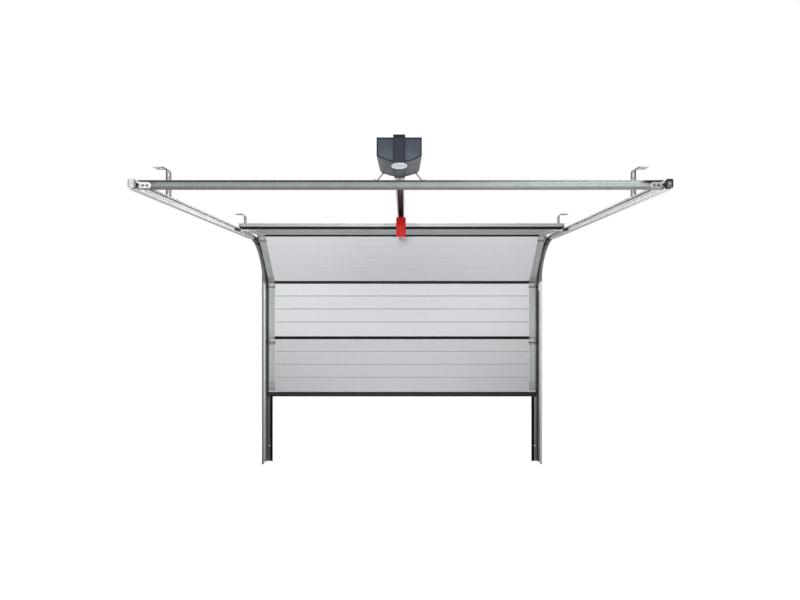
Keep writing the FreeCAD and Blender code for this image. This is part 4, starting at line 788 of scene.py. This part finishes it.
def block(name, low, high):
    """A box between two corners."""
    middle = [(a + b) / 2 for a, b in zip(low, high)]
    size = [b - a for a, b in zip(low, high)]
    return primitive("cube", name, size=1, location=middle, scale=size)


def bar_forward(name, sides, radius, start, length):
    """A round or many-sided bar along -Y, which starts in front of the plane Y = 0."""
    return primitive("cylinder", name, vertices=sides, radius=radius, depth=length,
                     location=(0, -start - length / 2, 0), rotation=FORWARD)


def wire_ring(name, radius, wire, sides, wire_sides, middle=(0, 0, 0)):
    """A ring of round wire about a line along -Y."""
    return primitive("torus", name, major_radius=radius, minor_radius=wire, major_segments=sides,
                     minor_segments=wire_sides, location=middle, rotation=FORWARD)


def pick(piece, kind, test):
    """Go to edit mode with only the faces or edges that pass the test selected."""
    object_mode()
    mesh = piece.data
    for group in (mesh.vertices, mesh.edges, mesh.polygons):
        for item in group:
            item.select = False
    bpy.context.tool_settings.mesh_select_mode = (False, kind == "EDGE", kind == "FACE")
    for item in (mesh.polygons if kind == "FACE" else mesh.edges):
        corners = [mesh.vertices[index].co for index in item.vertices]
        middle = sum(corners, Vector()) / len(corners)
        aim = item.normal if kind == "FACE" else (corners[1] - corners[0]).normalized()
        if test(middle, aim):
            item.select = True
            for index in item.vertices:
                mesh.vertices[index].select = True
    bpy.ops.object.mode_set(mode="EDIT")


def faces_room(middle, aim):
    """Whether a face looks to -Y, into the room."""
    return aim.y < -0.9


def inset(width):
    """Inset the selected faces."""
    bpy.ops.mesh.inset(thickness=width)


def extrude(*offset):
    """Extrude the selected faces by an offset."""
    bpy.ops.mesh.extrude_region_move(TRANSFORM_OT_translate={"value": offset})


def modify(piece, kind, **settings):
    """Add a modifier and apply it."""
    object_mode()
    bpy.context.view_layer.objects.active = piece
    modifier = piece.modifiers.new(kind.lower(), kind)
    for name, value in settings.items():
        setattr(modifier, name, value)
    bpy.ops.object.modifier_apply(modifier=modifier.name)


def round_edges(piece, width, segments=2, angle=35):
    """Round a piece's edges that are sharper than an angle in degrees."""
    modify(piece, "BEVEL", width=width, segments=segments, limit_method="ANGLE",
           angle_limit=math.radians(angle), harden_normals=False)


def join(name, pieces):
    """Join meshes into one piece."""
    select_only(*pieces)
    if len(pieces) > 1:
        bpy.ops.object.join()
    joined = bpy.context.object
    rename(joined, name)
    return joined


def finish_piece(piece, shader, slot, *replaced, angle=35):
    """Smooth a finished piece, give it its finish and tie it to the door."""
    select_only(piece)
    bpy.ops.object.shade_smooth_by_angle(angle=math.radians(angle))
    if not piece.data.materials:
        piece.data.materials.append(shader.material)
    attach(piece, "root")
    if replaced:
        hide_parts(*replaced)


def spread(master, name, places):
    """Copy a small part to each of its places, each with its own mesh, and join the copies."""
    copies = []
    for place in places:
        select_only(master)
        bpy.ops.object.duplicate(linked=False)
        copy = bpy.context.object
        copy.matrix_world = place
        apply_place()
        copies.append(copy)
    bpy.data.objects.remove(master)
    return join(name, copies)


def fasten(name, fastener, places, shader):
    """Put a fastener at each of its places, all in one piece."""
    finish_piece(spread(fastener, name, places), shader, "galvanised_steel")


def hex_bolt(across, head, washer_radius, washer):
    """A hexagon bolt's head on its washer, facing -Y, standing on the plane Y = 0."""
    ring = bar_forward("washer", 28, washer_radius, 0, washer)
    round_edges(ring, washer * 0.3, 1)
    radius = across / math.sqrt(3)
    top = bar_forward("bolt", 6, radius, washer, head)
    pick(top, "FACE", faces_room)
    inset(radius * 0.14)
    bpy.ops.transform.translate(value=(0, -head * 0.12, 0))
    round_edges(top, head * 0.08, 1, 20)
    return join("hex_bolt", [ring, top])


def dome_rivet(radius, height):
    """A low domed head facing -Y, with a small flat crown."""
    head = bar_forward("rivet", 20, radius, 0, height * 0.4)
    pick(head, "FACE", faces_room)
    for rise, share in ((0.35, 0.82), (0.25, 0.62)):
        extrude(0, -height * rise, 0)
        bpy.ops.transform.resize(value=(share, 1, share))
    object_mode()
    return head


def socket_screw(radius, height):
    """A flanged screw head facing -Y, with a recess for its driver."""
    head = bar_forward("screw", 24, radius, 0, height * 0.35)
    pick(head, "FACE", faces_room)
    inset(radius * 0.28)
    extrude(0, -height * 0.65, 0)
    bpy.ops.transform.resize(value=(0.88, 1, 0.88))
    inset(radius * 0.26)
    extrude(0, height * 0.45, 0)
    object_mode()
    return head


def turned(direction):
    """The turn that takes a fastener's -Y to another way."""
    return Vector((0, -1, 0)).rotation_difference(Vector(direction)).to_matrix().to_4x4()


def on_both_sides(spots, direction=(0, -1, 0), base=Matrix()):
    """Places at spots on the right side and, mirrored, on the left."""
    places = []
    for side in (1, -1):
        aim = turned((side * direction[0], direction[1], direction[2]))
        for x, y, z in spots:
            places.append(base @ Matrix.Translation((side * x, y, z)) @ aim)
    return places


def make_leaf_screws(finish):
    """Flanged screws through the hinges, end brackets and arm bracket into the sections."""
    joints = (
        (HINGE_Y, JOINT_1_Z, 0, 0), (HINGE_Y, JOINT_2_Z, 0, LEAN_3),
        (JOINT_3_Y, JOINT_3_Z, LEAN_3, LEAN_4),
    )
    hinge_columns = (HINGE_X + 14 * MM, HINGE_X + 40 * MM)
    lower = [(x, HINGE_FACE, -20 * MM) for x in hinge_columns]
    lower.append((HINGE_X + HINGE_WIDTH / 2, HINGE_FACE, -58 * MM))
    upper = [(x, HINGE_FACE, z) for x in hinge_columns for z in (24 * MM, 46 * MM)]
    places = []
    for y, z, lower_lean, upper_lean in joints:
        places += on_both_sides(lower, base=leaf_frame(y, z, lower_lean))
        places += on_both_sides(upper, base=leaf_frame(y, z, upper_lean))
    plate_columns = (HINGE_X + 11 * MM, HINGE_X + 43 * MM)
    low = [(x, BRACKET_FACE, z) for x in plate_columns for z in (66 * MM, 98 * MM)]
    high = [(x, BRACKET_FACE, PITCH - z) for x in plate_columns for z in (76 * MM, 98 * MM)]
    arm_plate = [(28 * MM, SKIN_Y - 3 * MM, PITCH - z) for z in (18 * MM, 78 * MM)]
    places += on_both_sides(low, base=SECTION_FRAMES["bottom"])
    places += on_both_sides(high, base=SECTION_FRAMES["top"])
    places += on_both_sides(arm_plate, base=SECTION_FRAMES["top"] @ AT_OPERATOR)
    fasten("leaf_screws", socket_screw(5.2 * MM, 3.6 * MM), places, finish["bolt"])


def small_bolt():
    """The hexagon bolt of the rails and the cross bar."""
    return hex_bolt(9 * MM, 3.6 * MM, 6.2 * MM, 1.2 * MM)


def make_track_fasteners(finish):
    """Rivets inside the tracks, and bolts through the hangers, splices and cross bar brackets."""
    inside = WEB_X - 2 * MM
    first_row, row_pitch = 270 * MM, 600 * MM
    splice = [(CURVE_END_Y + shift * MM, RAIL_Z) for shift in (-36, -14, 14, 36)]
    hangers = [(y + shift * MM, RAIL_Z + 2 * MM) for y in (FRONT_HANGER_Y, REAR_HANGER_Y)
               for shift in (-18, 18)]
    spots = [(inside, TRACK_Y + shift * MM, FLOOR_Z + first_row + row_pitch * row)
             for row in range(3) for shift in (-9, 9)]
    spots += [(inside, TRACK_Y, CURVE_Z - below * MM) for below in (30, 62)]
    for angle in (math.radians(14), math.radians(30), math.radians(46)):
        spots.append((inside, CURVE_Y + TRACK_RADIUS * math.cos(angle),
                      CURVE_Z + TRACK_RADIUS * math.sin(angle)))
    spots += [(inside, y, z) for y, z in splice + hangers]
    fasten("track_rivets", dome_rivet(5.5 * MM, 1.9 * MM), on_both_sides(spots, (-1, 0, 0)),
           finish["bolt"])

    outside = [(WEB_X + 2.5 * MM, y, z) for y, z in hangers]
    outside += [(WEB_X + 2 * MM, y, z) for y, z in splice]
    fasten("rail_bolts", small_bolt(), on_both_sides(outside, (1, 0, 0)), finish["bolt"])
    bracket_face = reach("cross_bar_brackets", "Y")[0]
    holes = [(x, bracket_face, BAR_Z) for x in (1248 * MM, 1270 * MM)]
    fasten("cross_bar_bolts", small_bolt(), on_both_sides(holes), finish["dark_bolt"])


def make_section_folds(finish):
    """The skins' rolled edges beside each joint, which catch the light."""
    half = CAP_INNER_X - 0.5 * MM
    fold_half = 1.6 * MM
    folds = []
    for kind, section in SECTION_FRAMES.items():
        heights = []
        if kind != "bottom":
            heights.append(BAND + fold_half)
        if kind != "top":
            heights.append(PITCH - BAND - fold_half)
        for height in heights:
            fold = block("fold", (-half, SKIN_Y - 1.1 * MM, height - fold_half),
                         (half, SKIN_Y + 0.4 * MM, height + fold_half))
            pick(fold, "EDGE", lambda middle, aim: abs(aim.x) > 0.9 and middle.y < SKIN_Y)
            bpy.ops.mesh.bevel(offset=1.05 * MM, segments=4)
            select_only(fold)
            fold.matrix_world = section
            apply_place()
            folds.append(fold)
    finish_piece(join("section_edge_folds", folds), finish["fold"], "section_paint")


def make_roller_rings(finish):
    """The bearing's steel ring in the inner face of each roller, and a circlip on its axle."""
    lowest_z = LEAF_BOTTOM_Z + 30 * MM
    second_z = JOINT_1_Z - ROLLER_DROP
    third_z = JOINT_2_Z - ROLLER_DROP
    third_y = CURVE_Y + math.sqrt(TRACK_RADIUS ** 2 - (third_z - CURVE_Z) ** 2)
    fourth = SECTION_FRAMES["upper_middle"] @ Vector((0, -ROLLER_OUT, PITCH - ROLLER_DROP))
    fifth = SECTION_FRAMES["top"] @ TOP_ROLLER
    centres = [(TRACK_Y, lowest_z), (TRACK_Y, second_z), (third_y, third_z),
               (fourth.y, fourth.z), (fifth.y, fifth.z)]
    wheel_face = WEB_X - 19 * MM
    ring = wire_ring("bearing_ring", 13.5 * MM, 1.1 * MM, 36, 8)
    clip = wire_ring("circlip", 6.4 * MM, 0.8 * MM, 24, 6, (0, -9 * MM, 0))
    spots = [(wheel_face, y, z) for y, z in centres]
    fasten("roller_bearing_rings", join("ring", [ring, clip]), on_both_sides(spots, (-1, 0, 0)),
           finish["bolt"])


def make_pin_heads(finish):
    """Peened heads on both ends of every hinge pin."""
    places = []
    for y, z in ((HINGE_Y, JOINT_1_Z), (HINGE_Y, JOINT_2_Z), (JOINT_3_Y, JOINT_3_Z)):
        places += on_both_sides([(HINGE_X, y, z)], (-1, 0, 0))
        places += on_both_sides([(HINGE_X + HINGE_WIDTH, y, z)], (1, 0, 0))
    fasten("hinge_pin_heads", dome_rivet(4.4 * MM, 1.6 * MM), places, finish["bolt"])


def make_badge(finish):
    """The operator's bare oval plate: a dished field inside a rounded rim."""
    low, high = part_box("operator_badge")
    plate = primitive("cylinder", "operator_oval_plate", vertices=72, radius=0.5, depth=1,
                      location=(low + high) / 2, scale=high - low)
    pick(plate, "FACE", lambda middle, aim: aim.z < -0.9)
    inset(3 * MM)
    extrude(0, 0, 1.1 * MM)
    bpy.ops.transform.resize(value=(0.985, 0.985, 1))
    round_edges(plate, 0.7 * MM, 3, 30)
    finish_piece(plate, finish["operator_badge"], "plate_aluminium", "operator_badge")


def make_housing(finish):
    """The motor head: tapered, crowned underneath, with a framed near cover."""
    near_y, far_y = HEAD_NEAR_Y, HEAD_FAR_Y
    side = 84 * MM
    near_half, far_half = 103.5 * MM, 100 * MM
    near_crown, far_crown = 31 * MM, 29 * MM
    flat = math.radians(0.4)
    body = block("motor_head", (OPERATOR_X - near_half, near_y, HEAD_TOP_Z - side - near_crown),
                 (OPERATOR_X + near_half, far_y, HEAD_TOP_Z))
    pick(body, "FACE", lambda middle, aim: aim.y > 0.9)
    bpy.ops.transform.resize(value=(far_half / near_half, 1, 1), center_override=(
        OPERATOR_X, far_y, HEAD_TOP_Z))
    near_radius = (near_half ** 2 + near_crown ** 2) / (2 * near_crown)
    far_radius = (far_half ** 2 + far_crown ** 2) / (2 * far_crown)
    barrel = primitive("cone", "crown", vertices=180, radius1=near_radius, radius2=far_radius,
                       depth=far_y - near_y + 2 * MM, rotation=(-math.pi / 2, 0, 0),
                       location=(OPERATOR_X, (near_y + far_y) / 2, 0))
    pick(barrel, "FACE", lambda middle, aim: middle.y < near_y + 1 * MM)
    bpy.ops.transform.translate(value=(0, 0, HEAD_TOP_Z - side - near_crown + near_radius))
    pick(barrel, "FACE", lambda middle, aim: middle.y > far_y - 1 * MM)
    bpy.ops.transform.translate(value=(0, 0, HEAD_TOP_Z - side - far_crown + far_radius))
    modify(body, "BOOLEAN", operation="INTERSECT", object=barrel, solver="EXACT")
    bpy.data.objects.remove(barrel)
    pick(body, "FACE", lambda middle, aim: True)
    bpy.ops.mesh.dissolve_limited(angle_limit=flat)
    round_edges(body, 4 * MM, 3, 40)

    body.data.materials.append(finish["operator_housing"].material)
    body.data.materials.append(finish["housing_gap"].material)
    pick(body, "FACE", lambda middle, aim: aim.y < -0.99)
    bpy.ops.mesh.dissolve_limited(angle_limit=flat)
    inset(1.2 * MM)
    extrude(0, 3 * MM, 0)
    # The groove's ring takes the near-black finish: painted shade in the gap.
    body.active_material_index = 1
    bpy.ops.object.material_slot_assign()
    inset(3.4 * MM)
    body.active_material_index = 0
    bpy.ops.object.material_slot_assign()
    extrude(0, -2.6 * MM, 0)
    inset(1.2 * MM)
    bpy.ops.transform.translate(value=(0, -0.4 * MM, 0))
    finish_piece(body, finish["operator_housing"], "housing_plastic", "operator_housing", angle=25)


def make_lever(finish):
    """The red release lever: a rounded folded plate with finger ribs, and its eye."""
    low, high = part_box("release_lever")
    plate_low = BOOM_Z - 150 * MM
    middle_x = (low.x + high.x) / 2
    shell = block("release_handle", (low.x, low.y, plate_low), (high.x, high.y, high.z))
    pick(shell, "EDGE", lambda middle, aim: abs(aim.z) > 0.9 and middle.y < low.y + 1 * MM)
    bpy.ops.mesh.bevel(offset=4 * MM, segments=4)
    pick(shell, "FACE", lambda middle, aim: aim.y > 0.9 or abs(aim.z) > 0.9)
    bpy.ops.mesh.delete(type="FACE")
    modify(shell, "SOLIDIFY", thickness=3 * MM, offset=-1)
    round_edges(shell, 0.7 * MM, 2, 50)
    rib_half, rib_height, rib_pitch, first_rib = 24 * MM, 4 * MM, 11 * MM, 16 * MM
    ribs = []
    for step in range(4):
        z = plate_low + first_rib + rib_pitch * step
        ribs.append(block("rib", (middle_x - rib_half, low.y + 0.2 * MM, z),
                          (middle_x + rib_half, low.y + 1.4 * MM, z + rib_height)))
    eye_x = middle_x - 8 * MM
    eye_z = low.z + 7 * MM
    eye = wire_ring("eye", 5.2 * MM, 1.75 * MM, 36, 12, (eye_x, low.y + 1.8 * MM, eye_z))
    stem = block("stem", (eye_x - 6 * MM, low.y + 0.4 * MM, eye_z + 4 * MM),
                 (eye_x + 6 * MM, low.y + 3.2 * MM, plate_low + 4 * MM))
    round_edges(stem, 0.8 * MM, 2, 50)
    lever = join("release_handle", [shell, eye, stem] + ribs)
    finish_piece(lever, finish["release_lever"], "lever_plastic", "release_lever")


def make_buffers(finish):
    """The rail ends' moulded buffers: rounded blocks with a dished face and a fixing screw."""
    low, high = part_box("rail_buffers")
    width = 34 * MM
    blocks = []
    screws = []
    for side in (1, -1):
        inner, outer = sorted((side * (high.x - width), side * high.x))
        buffer = block("buffer", (inner, low.y, low.z), (outer, high.y, high.z))
        pick(buffer, "EDGE", lambda middle, aim: abs(aim.y) > 0.9)
        bpy.ops.mesh.bevel(offset=9 * MM, segments=6)
        pick(buffer, "FACE", faces_room)
        inset(3.5 * MM)
        extrude(0, 1.5 * MM, 0)
        bpy.ops.transform.resize(value=(0.94, 1, 0.94))
        round_edges(buffer, 1.2 * MM, 3, 40)
        blocks.append(buffer)
        screws.append(Matrix.Translation(((inner + outer) / 2, low.y + 1.6 * MM,
                                          (low.z + high.z) / 2)))
    finish_piece(join("moulded_rail_buffers", blocks), finish["rail_buffers"], "buffer_rubber",
                 "rail_buffers")
    fasten("buffer_screws", socket_screw(4.5 * MM, 1.5 * MM), screws, finish["bolt"])


def make_operator_fasteners(finish):
    """Bolts of the wall bracket, the clamp and the stays' tabs and feet."""
    wall_bracket = [(37 * MM, -5 * MM, BOOM_Z + rise) for rise in (-1 * MM, 38 * MM)]
    clamp = [(12 * MM, HEAD_FAR_Y + 21 * MM, BOOM_Z - 26 * MM)]
    stay_tab = [(84 * MM, HEAD_FAR_Y + 3 * MM, HEAD_TOP_Z - 92 * MM)]
    stay_foot = [(121 * MM, RAIL_END_Y + 14 * MM, BAR_Z + 24 * MM)]
    places = on_both_sides(wall_bracket, base=AT_OPERATOR)
    places += on_both_sides(clamp, (0, 0, -1), AT_OPERATOR)
    places += on_both_sides(stay_tab, (0, 1, 0), AT_OPERATOR)
    places += on_both_sides(stay_foot, (0, 0, 1), AT_OPERATOR)
    bolt = hex_bolt(8 * MM, 3.2 * MM, 5.8 * MM, 1.1 * MM)
    fasten("operator_bolts", bolt, places, finish["bolt"])


def hang(name, data, place, turn):
    """Put a lamp or the camera in the scene."""
    holder = bpy.data.objects.new(name, data)
    holder.location = place
    holder.rotation_euler = turn
    bpy.context.scene.collection.objects.link(holder)
    return holder


def set_camera():
    """The photograph's camera, level and square to the door."""
    camera = bpy.data.cameras.new("camera")
    camera.sensor_width = SENSOR
    camera.lens = FOCAL_PIXELS / PHOTO_WIDTH * SENSOR
    camera.shift_x = -VIEW_CENTRE_SHIFT[0] / PHOTO_WIDTH
    camera.shift_y = VIEW_CENTRE_SHIFT[1] / PHOTO_WIDTH
    camera.clip_end = 100
    place = (CAMERA_SIDE, LEAF_FACE_Y - CAMERA_DISTANCE, FLOOR_Z + CAMERA_HEIGHT)
    bpy.context.scene.camera = hang("camera", camera, place, (math.radians(90), 0, 0))


def hang_lamp(name, light, place, aim, power):
    """Hang a lamp that the camera doesn't see and point it at its aim."""
    light.energy = power
    turn = (Vector(aim) - Vector(place)).to_track_quat("-Z", "Y").to_euler()
    hang(name, light, place, turn).visible_camera = False


def area_light(name, place, aim, size, power):
    """A wide soft lamp."""
    light = bpy.data.lights.new(name, "AREA")
    light.shape = "RECTANGLE"
    light.size, light.size_y = size
    hang_lamp(name, light, place, aim, power)


def spot_light(name, place, aim, power, cone, blend):
    """A soft spot that fades out towards the edge of its cone."""
    light = bpy.data.lights.new(name, "SPOT")
    light.spot_size = math.radians(cone)
    light.spot_blend = blend
    light.shadow_soft_size = 0.4
    hang_lamp(name, light, place, aim, power)


def seen_white(tree, lit, unlit):
    """Join a lit shader with plain white for what the camera, gloss and glass see."""
    seen = 0
    for ray in ("Is Camera Ray", "Is Glossy Ray", "Is Transmission Ray"):
        seen = add_node(tree, "Math", {"operation": "MAXIMUM"},
                        {0: seen, 1: add_node(tree, "LightPath", output=ray)})
    return add_node(tree, "MixShader", {}, {0: seen, 1: lit, 2: unlit}).socket


def background(tree, colour, strength):
    """A world shader of one colour."""
    return add_node(tree, "Background", {}, {"Color": (*colour, 1), "Strength": strength})


def set_world():
    """A faint cool light from all round, seen as white."""
    world = bpy.data.worlds.new("studio")
    bpy.context.scene.world = world
    world.use_nodes = True
    tree = world.node_tree
    tree.nodes.clear()
    ambient = background(tree, (0.93, 0.96, 1.0), 0.16)
    white = background(tree, (1, 1, 1), 1.0)
    out = tree.nodes.new("ShaderNodeOutputWorld")
    tree.links.new(seen_white(tree, ambient, white), out.inputs["Surface"])


def make_floor():
    """A white floor that keeps a faint shadow near the door and is plain white further off."""
    floor = primitive("plane", "studio_floor", size=40, location=(0, 0, FLOOR_Z - 1 * MM))
    paint = Shader("studio_floor_paint", (0.8, 0.8, 0.8), 0.9)
    far_white = paint.node("Emission")
    near_white = paint.node("Emission", {}, {"Strength": 0.86})
    shadowed = paint.node("BsdfDiffuse", {}, {"Color": (0.55, 0.55, 0.55, 1)})
    near_floor = paint.node("AddShader", {}, {0: near_white, 1: shadowed})
    distance = paint.node("VectorMath", {"operation": "LENGTH"}, {0: paint.place}, output=1)
    seen = paint.node("MixShader", {}, {
        0: distance.step(2.6, 4.2), 1: near_floor, 2: far_white})
    lit = Wire(paint.tree, paint.principled.outputs[0])
    out = paint.tree.nodes["Material Output"]
    paint.tree.links.new(seen_white(paint.tree, lit, seen), out.inputs[0])
    floor.data.materials.append(paint.material)


def light_studio():
    """A soft spot on the door from the room, and fills from the sides, below, above and behind."""
    spot_light("door_key", (-0.3, -9.5, -0.55), (-0.15, 0, -0.3), 1850, 30, 0.9)
    area_light("under_fill", (0.6, -3.6, -1.6), (-0.1, -1.6, -0.1), (2.6, 0.9), 15)
    spot_light("right_fill", (4.2, -4.0, -1.0), (-1.3, -1.7, -0.1), 1300, 40, 1.0)
    spot_light("left_fill", (-4.2, -4.0, -1.0), (1.3, -1.7, -0.1), 950, 40, 1.0)
    area_light("top_fill", (0.0, -2.5, 2.5), (0, -1.0, 0), (3.0, 3.0), 25)
    area_light("back_fill", (0.0, 3.5, 0.6), (0, 0, -0.8), (5, 3), 105)


bpy.context.scene.view_settings.view_transform = "Standard"
set_camera()
set_world()
make_floor()
light_studio()
finishes = make_finishes()
dress_nodes(finishes)
for make_piece in (make_leaf_screws, make_track_fasteners, make_section_folds, make_roller_rings,
                   make_pin_heads, make_badge, make_housing, make_lever, make_buffers,
                   make_operator_fasteners):
    make_piece(finishes)
